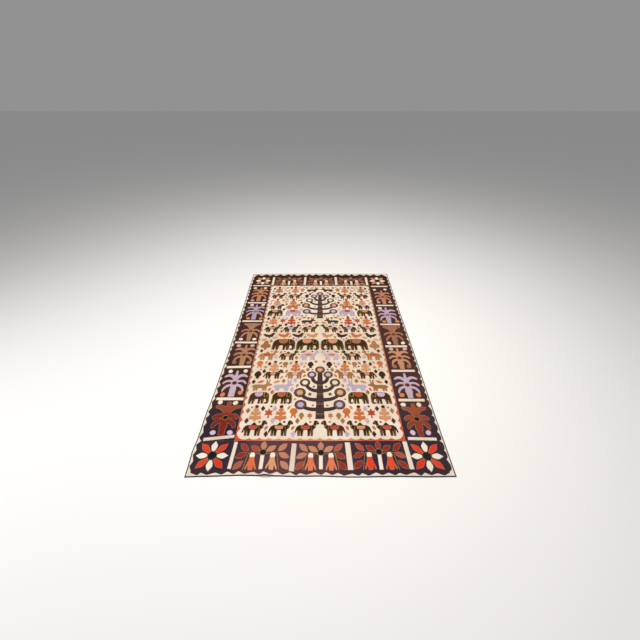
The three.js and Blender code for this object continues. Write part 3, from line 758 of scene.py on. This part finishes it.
def petals_of(node, x, y):
    """The eight petals of a CAD flower, one in each eighth of a turn, from the one along X."""
    (outline,) = outlines_of(node)
    eighth = [round(math.degrees(math.atan2(py - y, px - x)) / 45) % 8 for px, py in outline]
    first = next(i for i in range(len(outline)) if eighth[i] == 0 and eighth[i - 1] == 7)
    turned, eighth = outline[first:] + outline[:first], eighth[first:] + eighth[:first]
    return [[place for place, which in zip(turned, eighth) if which == i] for i in range(8)]


flower_discs = Patches()
flower_gold = GoldThread()
for corner in ("near_left", "near_right", "far_left", "far_right"):
    low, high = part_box(f"corner_flower_{corner}")
    x, y = (low.x + high.x) / 2, (low.y + high.y) / 2
    dyed_petals, cream_petals = Patches(), Patches()
    for i, petal in enumerate(petals_of(f"corner_flower_{corner}", x, y)):
        outline = rounded(petal, radius=9 * MM, sharpest=75)
        (dyed_petals if i % 2 else cream_petals).add(outline, ON_BORDER, PATCH_RISE)
    dye = flower_dyes[corner.split("_")[0]]
    dyed_petals.sewn(f"flower_petals_{corner}", dye, "red_cotton", f"corner_flower_{corner}")
    cream_petals.sewn(f"flower_cream_petals_{corner}", petal_cotton, "cream_cotton", thread="cream")
    flower_discs.add(disc(x, y, FLOWER_DISC, corners=26), ON_PATCH, DISC_RISE)
    ring = disc(x, y, FLOWER_DISC + RING_ROOM, corners=26)
    flower_gold.lay(ring, ON_PATCH, closed=True, width=1.8 * MM)
flower_discs.sewn("flower_discs", disc_dyes["black"], "brown_cotton", thread="dark")
flower_gold.laid("flower_gold_rings", gold_thread)

# The end-panel sprays
# A cream stem under a ringed dark disc, three leaf petals on the disc, three leaves stacked down
# each side, and two bell flowers with cream caps that hang inside an arch of gold thread.
SPRAY_TOP = 57 * MM
STEM = {"half_width": 8.5 * MM, "below_disc": 6 * MM}
LEAF_WIDTH = 28 * MM
CAP_RISE = 1.2 * PATCH_RISE
ON_BELL = ON_BORDER + 0.4 * MM
BELL = {"apart": 47 * MM, "top": -21 * MM, "height": 65 * MM, "width": 50 * MM}
SPRAY_DISC = 14 * MM
# The gold thread of the right half, in mm from the disc.
half_arch = [(15, -7), (32, -5), (46, 0), (60, -1), (67, -7), (70, -24), (75, -52), (81, -87)]
# The leaves of the right half: the middle in mm from the disc, the length and the turn in degrees.
petal_places = [(0, 34, 46, 90), (37, 19, 53, 32)]
leaf_places = [(90, 26, 57, 44), (99, -15, 56, -26), (105, -63, 57, -45)]
leaf_dyes = {
    "salmon": (0xBF7F65, 0xCC9A84, "terracotta_cotton"),
    "terracotta": (0xA84C38, 0xBA745A, "terracotta_cotton"),
    "dark_red": (0x8F2A22, 0xAA4C3A, "terracotta_cotton"),
    "mauve": (0x87503F, 0xA0766A, "brown_cotton"),
    "tan": (0x9A6648, 0xB48C70, "tan_cotton"),
}
bell_dyes = {
    "coral": (0xE2663A, 0xE8936A, "orange_cotton"),
    "scarlet": (0xE2421F, 0xE66E44, "red_cotton"),
    "peach": (0xDD9A70, 0xE4B494, "orange_cotton"),
    "sand": (0xCD9365, 0xDBB08A, "orange_cotton"),
}
# For each spray: how far its leaves are spread, the dyes of the leaves from the top down on each
# side, of the left, upper and right petal, and of the two bells.
sprays = {
    "near_1": (1.0, ("dark_red", "dark_red", "terracotta"), ("salmon", "salmon", "salmon"),
               ("terracotta", "salmon", "salmon"), ("coral", "peach")),
    "near_2": (0.91, ("salmon", "salmon", "terracotta"), ("terracotta", "dark_red", "dark_red"),
               ("salmon", "salmon", "salmon"), ("coral", "coral")),
    "near_3": (0.97, ("terracotta", "dark_red", "dark_red"), ("dark_red", "terracotta", "dark_red"),
               ("dark_red", "dark_red", "dark_red"), ("scarlet", "scarlet")),
    "far_1": (0.97, ("mauve", "mauve", "mauve"), ("tan", "mauve", "mauve"),
              ("mauve", "tan", "tan"), ("sand", "sand")),
    "far_2": (0.93, ("mauve", "mauve", "mauve"), ("mauve", "mauve", "tan"),
              ("tan", "mauve", "tan"), ("sand", "sand")),
    "far_3": (0.93, ("tan", "mauve", "mauve"), ("mauve", "mauve", "tan"),
              ("tan", "tan", "mauve"), ("sand", "peach")),
}


def leaf(x, y, length, width, turn):
    """A leaf pointed at both ends, about its own middle, at an angle in degrees."""
    along = Vector((math.cos(math.radians(turn)), math.sin(math.radians(turn))))
    side = Vector((-along.y, along.x))
    steps, fullness = 6, 0.9
    shares = [i / steps for i in range(steps + 1)]
    edge = [(t - 0.5, math.sin(math.pi * t) ** fullness / 2) for t in shares]
    lower = [Vector((x, y)) + along * length * t - side * width * bow for t, bow in edge]
    upper = [Vector((x, y)) + along * length * t + side * width * bow for t, bow in edge[-2:0:-1]]
    return [tuple(place) for place in lower + upper]


def bell(x, y, height, width):
    """A hanging bell flower: narrow shoulders, a broad middle lobe and a slim one at each side."""
    half_outline = [
        (0.22, 1.0), (0.22, 0.8), (0.34, 0.5), (0.5, 0.16), (0.49, 0.03), (0.42, 0.03), (0.25, 0.36),
        (0.22, 0.3), (0.2, 0.0),
    ]
    right = [(x + width * u, y + height * v) for u, v in half_outline]
    left = [(2 * x - px, py) for px, py in reversed(right)]
    return list(reversed(right)) + list(reversed(left))


def bell_cap(x, y):
    """The cream cap of a bell flower, a little domed."""
    cap = [(-11, -4), (11, -4), (12.5, 8), (8, 19), (-8, 19), (-12.5, 8)]
    return [(x + u * MM, y + v * MM) for u, v in cap]


leaf_patches = {dye: Patches() for dye in leaf_dyes}
bell_patches = {dye: Patches() for dye in bell_dyes}
bell_caps, spray_discs, spray_gold = Patches(), Patches(), GoldThread()
for name, (spread, left_leaves, right_leaves, petals, bells) in sprays.items():
    low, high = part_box(f"spray_{name}")
    x, y = (low.x + high.x) / 2, high.y - SPRAY_TOP
    left, right = x - STEM["half_width"], x + STEM["half_width"]
    stem_top = y - STEM["below_disc"]
    stem = [(left, low.y), (right, low.y), (right, stem_top), (left, stem_top)]
    stem_patch = Patches().add(rounded(stem, 1.5 * MM), ON_BORDER, PATCH_RISE)
    stem_patch.sewn(f"spray_stem_{name}", petal_cotton, "cream_cotton", f"spray_{name}", thread="cream")
    upper, beside = petal_places
    leaves = [(petals[1], 1, upper), (petals[0], -1, beside), (petals[2], 1, beside)]
    for side, dyes in ((-1, left_leaves), (1, right_leaves)):
        leaves += [(dye, side, (spread * place[0], *place[1:])) for dye, place in zip(dyes, leaf_places)]
    for dye, side, (across, along, length, turn) in leaves:
        middle = (x + side * across * MM, y + along * MM)
        outline = leaf(*middle, length * MM, LEAF_WIDTH, turn if side > 0 else 180 - turn)
        leaf_patches[dye].add(outline, ON_BORDER, PATCH_RISE)
    for side, dye in zip((-1, 1), bells):
        bell_x, bell_y = x + side * BELL["apart"], y + BELL["top"]
        body = bell(bell_x, bell_y - BELL["height"], BELL["height"], BELL["width"])
        bell_patches[dye].add(rounded(body, radius=3 * MM, sharpest=20), ON_BORDER, PATCH_RISE)
        bell_caps.add(rounded(bell_cap(bell_x, bell_y), radius=4 * MM), ON_BORDER, CAP_RISE)
        spray_gold.lay([(x + side * u * MM, y + v * MM) for u, v in half_arch], ON_BELL)
    spray_discs.add(disc(x, y, SPRAY_DISC), ON_PATCH, DISC_RISE)
    spray_gold.lay(disc(x, y, SPRAY_DISC + RING_ROOM), ON_PATCH, closed=True)
sewn_by_dye(leaf_patches, leaf_dyes, "spray_leaves", "leaf")
sewn_by_dye(bell_patches, bell_dyes, "bells", "bell")
bell_caps.sewn("bell_caps", petal_cotton, "cream_cotton", thread="cream")
spray_discs.sewn("spray_discs", disc_dyes["black"], "brown_cotton", thread="dark")
spray_gold.laid("spray_gold_lines", gold_thread)

# The two trees
# On the centre line of the field, each a dark trunk with four pairs of curved branches, cut with
# its round ends in one piece. A lighter round is sewn on each end, ringed with gold thread.
BROWN = 0x3B2729
BROWN_FADED = 0x6A5250
ON_FIELD = ON_CLOTH + PATCH_RISE - PRESSED
tree_cotton = cotton("tree_cotton", BROWN, BROWN_FADED, fading=0.3, soiling=0.05)
fruit_dyes = {
    "cream": (0xEADCC4, 0xD8C4A4, "cream_cotton"),
    "lilac": (0xB8A8CC, 0xD2C8DC, "lilac_cotton"),
    "peach": (0xD39A72, 0xDDB294, "orange_cotton"),
}
# As the tree was drawn, in mm: its whole height, its trunk with the gold bands round it, and the
# round end of each branch (across, up, radius, dye of the round sewn on it).
TREE_HEIGHT = 381.4
TRUNK = {"foot_half": 23.5, "top_half": 13, "height": 352}
TRUNK_BANDS = {"up": [26, 92, 160, 224], "depth": 8, "inside_edge": 1.5}
branch_ends = [(0, 352, 30, "peach")]
for across, up, radius, dye in (
    (104, 92, 33, "lilac"), (112, 176, 34, "peach"), (86, 250, 31, "cream"), (48, 312, 28, "lilac"),
):
    branch_ends += [(side * across, up, radius, dye) for side in (-1, 1)]
FRUIT_SHARE, RING_SHARE = 0.52, 0.72
fruit_patches = {dye: Patches() for dye in fruit_dyes}
tree_gold = GoldThread()
for name in ("near", "far"):
    tree = cut_to(f"tree_{name}", ON_CLOTH, radius=2 * MM)
    tree.sewn(f"tree_patch_{name}", tree_cotton, "brown_cotton", f"tree_{name}")
    low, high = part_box(f"tree_{name}")
    size = (high.y - low.y) / TREE_HEIGHT
    x = (low.x + high.x) / 2
    for across, up, radius, dye in branch_ends:
        centre = (x + across * size, low.y + up * size)
        fruit = disc(*centre, radius * size * FRUIT_SHARE, corners=16)
        fruit_patches[dye].add(fruit, ON_FIELD, DISC_RISE)
        ring = disc(*centre, radius * size * RING_SHARE, corners=16)
        tree_gold.lay(ring, ON_FIELD, closed=True, width=2.2 * MM)
    for up in TRUNK_BANDS["up"]:
        thinner = (TRUNK["foot_half"] - TRUNK["top_half"]) * up / TRUNK["height"]
        half_trunk = (TRUNK["foot_half"] - thinner - TRUNK_BANDS["inside_edge"]) * size
        for y in (low.y + up * size, low.y + (up + TRUNK_BANDS["depth"]) * size):
            tree_gold.lay([(x - half_trunk, y), (x + half_trunk, y)], ON_FIELD, width=2 * MM)
sewn_by_dye(fruit_patches, fruit_dyes, "fruit", "fruit")
tree_gold.laid("tree_gold_rings", gold_thread)

# The animals and plants of the field
# Rows of flat figures cut from scraps of dyed cotton, the same to left and right of the centre
# line. Animals that carry something have a saddle cloth and a budded sprig of leaves on it, and
# gold thread marks their bridles, ears and legs.

# Each figure is drawn from its foot, in mm, facing right: the first two numbers of a corner are its
# place, and a third is how far the corner is rounded.
horse = [
    (-44, 0), (-33, 0), (-29, 28, 4), (-27, 0), (-16, 0), (-11, 30, 8), (10, 30, 8), (13, 0), (24, 0),
    (27, 28, 4), (29, 0), (40, 0), (42, 38, 10), (48, 54, 6), (60, 48, 4), (68, 55, 3), (60, 70, 5),
    (55, 84, 1), (49, 76, 2), (44, 86, 1), (38, 74, 6), (24, 60, 12), (-8, 57, 30), (-36, 62, 14),
    (-48, 52, 10), (-64, 14, 3), (-54, 12, 3), (-46, 36, 6),
]
elephant = [
    (-59, 0), (-46, 0), (-38, 32, 4), (-40, 0), (-27, 0), (-20, 34, 6), (-3, 36, 6), (-4, 0), (9, 0),
    (12, 34, 4), (15, 0), (28, 0), (32, 38, 8), (42, 32, 8), (45, 14, 12), (40, 9, 5), (36, 14, 2),
    (30, 5, 4), (46, -3, 12), (60, 8, 14), (61, 62, 30), (46, 88, 30), (-28, 90, 60), (-55, 72, 40),
    (-60, 30, 20),
]
antelope = [
    (-44, 0), (-35, 0), (-31, 18, 3), (-29, 0), (-20, 0), (-16, 20, 5), (8, 20, 5), (11, 0), (20, 0),
    (23, 18, 3), (25, 0), (34, 0), (35, 28, 6), (42, 36, 4), (62, 40, 2), (64, 48, 2), (46, 57, 5),
    (51, 88, 1), (44, 89, 1), (39, 60, 2), (33, 88, 1), (26, 86, 1), (28, 54, 8), (18, 47, 12),
    (-22, 49, 20), (-42, 47, 8), (-56, 34, 2), (-53, 26, 2), (-45, 30, 4),
]
camel = [
    (-38, 0), (-27, 0), (-25, 30, 3), (-23, 0), (-12, 0), (-9, 34, 5), (10, 34, 5), (12, 0), (23, 0),
    (25, 30, 3), (27, 0), (38, 0), (39, 38, 10), (52, 46, 12), (53, 66, 6), (67, 66, 3), (69, 75, 3),
    (56, 92, 8), (42, 88, 6), (40, 64, 12), (27, 60, 10), (16, 62, 8), (2, 84, 14), (-12, 62, 8),
    (-32, 63, 12), (-46, 51, 8), (-54, 20, 2), (-47, 17, 2), (-41, 34, 4),
]
bird = [
    (-4, 0), (4, 0), (4, 11, 2), (22, 13, 12), (27, 32, 12), (29, 43, 3), (42, 46, 1), (31, 53, 4),
    (24, 60, 8), (12, 57, 8), (8, 42, 8), (-10, 36, 14), (-38, 49, 3), (-48, 38, 3), (-24, 14, 14),
    (-4, 11, 2),
]
rosette = [
    (-13, 0), (-5, 4), (0, 14, 2), (5, 4), (13, 0), (8, 20, 3), (19, 32, 8), (13, 50, 10), (0, 54, 10),
    (-13, 50, 10), (-19, 32, 8), (-8, 20, 3),
]


def both_halves(half):
    """A plant drawn from its right foot round to the top of its middle line, with its left half."""
    left = [(-x, *rest) for x, *rest in half]
    return left[:1] + half + left[-2:0:-1]


tulip = both_halves([
    (4, 0), (3, 18, 2), (22, 16, 8), (13, 27, 4), (20, 47, 4), (7, 41, 2), (0, 58, 2),
])
shrub = both_halves([
    (5, 0), (6, 14, 2), (27, 20, 10), (25, 42, 12), (13, 48, 6), (12, 66, 8), (0, 78, 4),
])
crown = both_halves([(10, 0), (8, 12, 2), (23, 30, 10), (14, 54, 8), (0, 64, 2)])
sprig = both_halves([
    (6, 0), (6, 9, 2), (32, 13, 7), (29, 37, 9), (8, 31, 2), (8, 38, 2), (28, 42, 6), (23, 65, 8),
    (7, 58, 2), (7, 63, 2), (16, 67, 5), (10, 81, 5), (0, 87, 3),
])
SPRIG_BUD = {"up": 92, "radius": 10.5}
figures = {
    "horse": horse, "elephant": elephant, "antelope": antelope, "camel": camel, "bird": bird,
    "rosette": rosette, "tulip": tulip, "shrub": shrub, "crown": crown,
}
saddle_cloths = {
    "horse": [(-17, 55), (-19, 42, 6), (-13, 34, 6), (10, 34, 6), (16, 42, 6), (14, 55)],
    "elephant": [(-27, 85), (-27, 64, 8), (-14, 52, 10), (6, 52, 10), (19, 64, 8), (20, 85)],
    "camel": [(-21, 58), (-22, 47, 5), (-14, 38, 5), (13, 38, 5), (21, 47, 5), (19, 58)],
}
# How high the back is, where a sprig stands, and the lines of gold thread with their width.
backs = {"horse": 59, "camel": 84.5, "elephant": 91}
gold_marks = {
    "horse": [
        (3, [(58, 67), (55, 56), (64, 51)]), (3, [(56, 58), (42, 56), (22, 52)]),
        (2.4, [(-44, 44), (-58, 16)]), (2.4, [(-36, 50), (-34, 4)]),
    ],
    "camel": [
        (3, [(57, 82), (57, 67)]), (4, [(41, 62), (51, 54)]), (2.4, [(-36, 34), (-33, 2)]),
        (2.4, [(28, 56), (33, 36), (32, 3)]),
    ],
    "elephant": [
        (5.5, [(29, 86), (27, 66), (31, 50)]), (3, [(43, 84), (50, 70), (44, 54), (33, 50)]),
        (3, [(57, 58), (57, 30), (53, 10)]), (3, [(-56, 54), (-54, 4)]), (3, [(24, 36), (25, 3)]),
        (3, [(-25, 34), (-30, 3)]), (3, [(-34, 84), (-48, 74), (-55, 60)]),
    ],
}
# No row is laid quite true: how far a figure strays, leans and lets its sprig sway.
BY_HAND = {"strays": 2 * MM, "leans": 0.04, "sways": 3}
# The rounding of a corner that has no number, and the radius from which a curve has more points.
LEAST_ROUND = 1.5
WIDE_ROUND = 4 * MM
field_dyes = {
    "tan": (0xA0683A, 0xB4845A, "tan_cotton"),
    "brown": (0x3C1F10, 0x583722, "brown_cotton"),
    "olive": (0x33260A, 0x50421C, "brown_cotton"),
    "lilac": (0xB8A4C0, 0xCBBBCC, "lilac_cotton"),
    "orange": (0xC26A34, 0xCE8C5E, "orange_cotton"),
    "peach": (0xC8875C, 0xD4A37C, "orange_cotton"),
    "red": (0xB0422A, 0xC06C4C, "terracotta_cotton"),
}
# Each row of the right half: how far its feet are from the near edge, where it starts and ends from
# the centre line, and from there outwards the kind, size and dye of each figure, then the dyes of
# its saddle cloth and its sprig.
field_rows = {
    "camels_1": (206, 4, 389, [
        ("camel", 1, "brown", "red"), ("camel", 1, "olive", "peach", "orange"),
        ("camel", 1, "brown", "red", "peach"),
    ]),
    "plants_1": (304, 38, 112, [("tulip", 0.72, "orange"), ("crown", 0.66, "tan")]),
    "plants_2": (310, 116, 292, [("rosette", 1.2, "orange"), ("tulip", 1.1, "red")]),
    "elephants_1": (402, 152, 389, [
        ("elephant", 0.93, "olive", "red"), ("elephant", 0.93, "brown", "lilac"),
    ]),
    "antelopes_1": (492, 150, 389, [("antelope", 0.97, "lilac"), ("antelope", 0.97, "tan")]),
    "horses_1": (584, 84, 389, [
        ("horse", 0.93, "tan", "lilac", "orange"), ("horse", 0.93, "brown", "peach", "peach"),
        ("crown", 1, "brown"),
    ]),
    "plants_3": (672, 36, 389, [
        ("crown", 0.9, "brown"), ("rosette", 1, "tan"), ("rosette", 1.15, "orange"),
    ]),
    "camels_2": (741, 4, 389, [
        ("camel", 1, "lilac", "orange"), ("camel", 1, "olive", "peach"), ("camel", 1, "tan", "red"),
    ]),
    "elephants_2": (835, 4, 389, [
        ("elephant", 1.26, "olive", "peach"), ("elephant", 1.26, "brown", "tan"), ("shrub", 1.25, "tan"),
    ]),
    "birds_1": (953, 4, 389, [
        ("bird", 1, "peach"), ("bird", 1, "brown"), ("bird", 1, "orange"), ("bird", 1, "brown"),
    ]),
    "camels_3": (1018, 4, 389, [
        ("camel", 1, "olive", "peach"), ("camel", 1, "brown", "lilac", "red"),
        ("camel", 1, "brown", "peach", "orange"),
    ]),
    "antelopes_2": (1114, 30, 164, [("antelope", 0.9, "brown"), ("rosette", 0.5, "orange")]),
    "plants_4": (1120, 244, 389, [("tulip", 1.1, "red"), ("rosette", 0.5, "orange")]),
    "elephants_3": (1208, 144, 389, [
        ("elephant", 0.93, "lilac", "red"), ("elephant", 0.93, "olive", "peach"),
    ]),
    "horses_2": (1296, 146, 389, [
        ("horse", 0.9, "tan", "red", "orange"), ("horse", 0.9, "brown", "lilac", "peach"),
    ]),
    "camels_4": (1444, 134, 389, [
        ("camel", 0.99, "olive", "peach", "orange"), ("camel", 0.99, "brown", "red", "tan"),
    ]),
    "plants_5": (1455, 86, 126, [("crown", 0.85, "brown")]),
    "antelopes_3": (1545, 4, 166, [("antelope", 0.9, "brown"), ("rosette", 1.1, "orange")]),
}


def spread_out(row, start, end):
    """Each figure of a row with its distance from the centre line, so that the gaps are even."""
    fronts = [size * max(p[0] for p in figures[kind]) for kind, size, *_ in row]
    widths = [front - size * min(p[0] for p in figures[kind]) for front, (kind, size, *_) in zip(fronts, row)]
    gap = (end - start - sum(widths)) / max(len(row) - 1, 1)
    for (kind, size, *dyes), front, width in zip(row, fronts, widths):
        yield start + front, kind, size, dyes
        start += width + gap


def at_place(points, x, y, size=1.0, facing=1, turn=0.0):
    """Drawn places moved onto the cloth, in metres, for a figure that faces right (1) or left (-1)."""
    drawn = [Vector((facing * p[0], p[1])) * size * MM for p in points]
    along, across = Vector((math.cos(turn), math.sin(turn))), Vector((-math.sin(turn), math.cos(turn)))
    return [Vector((x, y)) + along * v.x + across * v.y for v in drawn]


def placed(points, x, y, size=1.0, facing=1, turn=0.0):
    """The outline of a drawn figure at its place on the cloth, with its corners rounded."""
    corners = at_place(points, x, y, size, facing, turn)
    radii = [(p[2] if len(p) > 2 else LEAST_ROUND) * size * MM for p in points]
    if facing < 0:
        corners.reverse()
        radii.reverse()
    smooth = []
    for i, here in enumerate(corners):
        before, after = corners[i - 1] - here, corners[(i + 1) % len(corners)] - here
        count = 4 if radii[i] > WIDE_ROUND else 2
        steps = [k / count for k in range(count + 1)]
        smooth += round_corner(before, here, after, radii[i], steps, most=0.48)
    return smooth


field_cottons = {
    dye: cotton(f"field_cotton_{dye}", colour, faded, fading=0.4)
    for dye, (colour, faded, slot) in field_dyes.items()
}
field_gold, buds = GoldThread(), Patches()
field_pieces = []
for name, (foot, inner, outer, row) in field_rows.items():
    cut = {}
    for across, kind, size, (dye, *carried) in spread_out(row, inner, outer):
        for side in (-1, 1):
            shift = noise.noise(Vector((across, foot, side))) * BY_HAND["strays"]
            lean = noise.noise(Vector((foot, across, side))) * BY_HAND["leans"]
            place = (side * across * MM + shift, NEAR_EDGE + foot * MM + shift, size, -side, lean)
            patch = placed(figures[kind], *place)
            cut.setdefault(("patches", dye), Patches()).add(patch, ON_CLOTH, PATCH_RISE)
            if carried:
                saddle = placed(saddle_cloths[kind], *place)
                cut.setdefault(("saddles", carried[0]), Patches()).add(saddle, ON_FIELD, DISC_RISE)
            for width, line in gold_marks.get(kind, []):
                field_gold.lay(at_place(line, *place), ON_FIELD, width=width * MM)
            for plant in carried[1:]:
                stem = at_place([(0, backs[kind])], *place)[0]
                sprig_place = (*stem, size, -side, lean * BY_HAND["sways"])
                leaves = placed(sprig, *sprig_place)
                bud = at_place([(0, SPRIG_BUD["up"])], *sprig_place)[0]
                cut.setdefault(("sprigs", plant), Patches()).add(leaves, ON_CLOTH, PATCH_RISE)
                buds.add(disc(*bud, SPRIG_BUD["radius"] * size * MM, corners=16), ON_FIELD, DISC_RISE)
    for (what, dye), made in cut.items():
        field_pieces.append(made.sewn(f"{name}_{what}_{dye}", field_cottons[dye], field_dyes[dye][2]))
field_pieces.append(buds.sewn("sprig_buds", field_cottons["brown"], "brown_cotton"))
field_gold.laid("field_gold_lines", gold_thread)

# The small fillings of the field
# Lozenges, leaves, stars and rounds, sewn wherever the larger figures leave room on the ground, the
# same on both sides of the centre line.
FIELD_SIDE = 389
FILLING_PITCH = 7 * MM
FIELD_ENDS = (NEAR_EDGE + 203 * MM, NEAR_EDGE + 1632 * MM)
CLEAR_ROOM = 6.5 * MM


def star_of(radius, points=5, hollow=0.45):
    turns = [math.pi * (0.5 + i / points) for i in range(2 * points)]
    reaches = [radius, radius * hollow] * points
    return [(reach * math.cos(turn), reach * math.sin(turn), 1) for reach, turn in zip(reaches, turns)]


def lozenge_of(width, height):
    return [(0, -height / 2, 2), (width / 2, 0, 2), (0, height / 2, 2), (-width / 2, 0, 2)]


def leaf_of(length, width, turn):
    return [(x / MM, y / MM, 1) for x, y in leaf(0, 0, length * MM, width * MM, turn)]


# Each kind, the largest first, with how far apart its middles are at least and its dyes.
filling_kinds = [
    (lozenge_of(25, 38), 62, ("lilac", "brown", "tan")),
    (leaf_of(44, 19, 24), 48, ("peach", "orange", "tan", "peach")),
    (star_of(15), 44, ("brown", "orange", "red")),
    (leaf_of(30, 15, 65), 36, ("orange", "tan", "peach")),
    (star_of(7, points=6, hollow=0.9), 66, ("orange", "brown", "tan")),
]
trees_and_teeth = [f"tree_patch_{end}" for end in ("near", "far")]
trees_and_teeth += [f"toothed_strip_{side}" for side in ("near", "far", "left", "right")]
neighbours = field_pieces + [bpy.data.objects[name] for name in trees_and_teeth]
taken = [vert.co.xy.to_3d() for piece in neighbours for vert in piece.data.vertices]
fillings = {dye: Patches() for dye in field_dyes}
for drawn, apart, dyes in filling_kinds:
    crowd = kdtree.KDTree(len(taken))
    for i, place in enumerate(taken):
        crowd.insert(place, i)
    crowd.balance()
    found = []
    for step in range(int((FIELD_ENDS[1] - FIELD_ENDS[0]) / FILLING_PITCH)):
        y = FIELD_ENDS[0] + step * FILLING_PITCH
        for along in range(1, int(FIELD_SIDE * MM / FILLING_PITCH)):
            x = (along + step % 2 / 2) * FILLING_PITCH
            corners = [(x - a * MM, y + b * MM, 0) for a, b, *_ in [(0, 0)] + drawn]
            corners += [(-a, b, 0) for a, b, _ in corners]
            if x < apart / 2 * MM or any(crowd.find(corner)[2] < CLEAR_ROOM for corner in corners):
                continue
            if all(math.dist((x, y), other) > apart * MM for other in found):
                found.append((x, y))
    for i, (x, y) in enumerate(found):
        for side in (-1, 1):
            outline = placed(drawn, side * x, y, 1.0, -side)
            fillings[dyes[i % len(dyes)]].add(outline, ON_CLOTH, PATCH_RISE)
            taken += [Vector((a, b, 0)) for a, b in outline] + [Vector((side * x, y, 0))]
for dye, made in fillings.items():
    if made.points:
        made.sewn(f"fillings_{dye}", field_cottons[dye], field_dyes[dye][2])

# The sewing
# Each patch is held by small slanting stitches over its turned edge, every few millimetres, in a
# cotton thread that is seldom the colour of the patch.
STITCH = {"apart": 4.2 * MM, "outside": 2.2 * MM, "inside": 2.4 * MM, "slant": 0.9 * MM, "width": 1.5 * MM}
# How high a stitch is over the cloth at its foot, and over the patch at its ridge and at its top.
STITCH_LIFT = {"foot": 0.1 * MM, "ridge": 0.35 * MM, "top": 0.05 * MM}
# How far up the patch's edge the two sides of the ridge are.
RIDGE_SIDE = 0.8
# How uneven the hand is: the draw from the noise, and the shares by which reach and step differ.
UNEVEN = {"places": 300, "draw": 1.7, "reach": 0.4, "step": 0.3}
sewing_threads = {
    "peach": ("orange_cotton", cotton("thread_peach", 0xD9A27E, 0xE3BC9F, fading=0.4)),
    "cream": ("cream_cotton", cotton("thread_cream", 0xE6D6BA, 0xD2B98E, fading=0.5)),
    "dark": ("brown_cotton", cotton("thread_dark", 0x4A3A3C, 0x6A5658, fading=0.4)),
}


def stitched(outline, base, rise, points, faces):
    """Adds the stitches along one turned edge, each a narrow ridge that climbs over it."""
    places = [Vector(place) for place in outline]
    ahead = STITCH["apart"] / 2
    for start, end in zip(places, places[1:] + places[:1]):
        length = (end - start).length
        if length == 0:
            continue
        along = (end - start) / length
        out = Vector((along.y, -along.x))
        while ahead < length:
            here = start + along * ahead
            uneven = noise.noise((*(here * UNEVEN["places"]), UNEVEN["draw"]))
            foot = here + out * STITCH["outside"] - along * STITCH["slant"]
            reach = STITCH["inside"] * (1 + UNEVEN["reach"] * uneven)
            top = here - out * reach + along * STITCH["slant"]
            side = along * STITCH["width"] / 2
            lift = cloth_lift(*here) + base
            first = len(points)
            points.append((*foot, lift + STITCH_LIFT["foot"]))
            points.append((*(here - side), lift + rise * RIDGE_SIDE))
            points.append((*(here + side), lift + rise * RIDGE_SIDE))
            points.append((*here, lift + rise + STITCH_LIFT["ridge"]))
            points.append((*top, lift + rise + STITCH_LIFT["top"]))
            for a, b, c in ((0, 2, 3), (0, 3, 1), (4, 3, 2), (4, 1, 3)):
                faces.append((first + a, first + b, first + c))
            ahead += STITCH["apart"] * (1 + UNEVEN["step"] * uneven)
        ahead -= length


for thread, (slot, material) in sewing_threads.items():
    points, faces = [], []
    for seam in seams[thread]:
        stitched(*seam, points, faces)
    new_mesh(f"stitches_{thread}", points, faces, material)
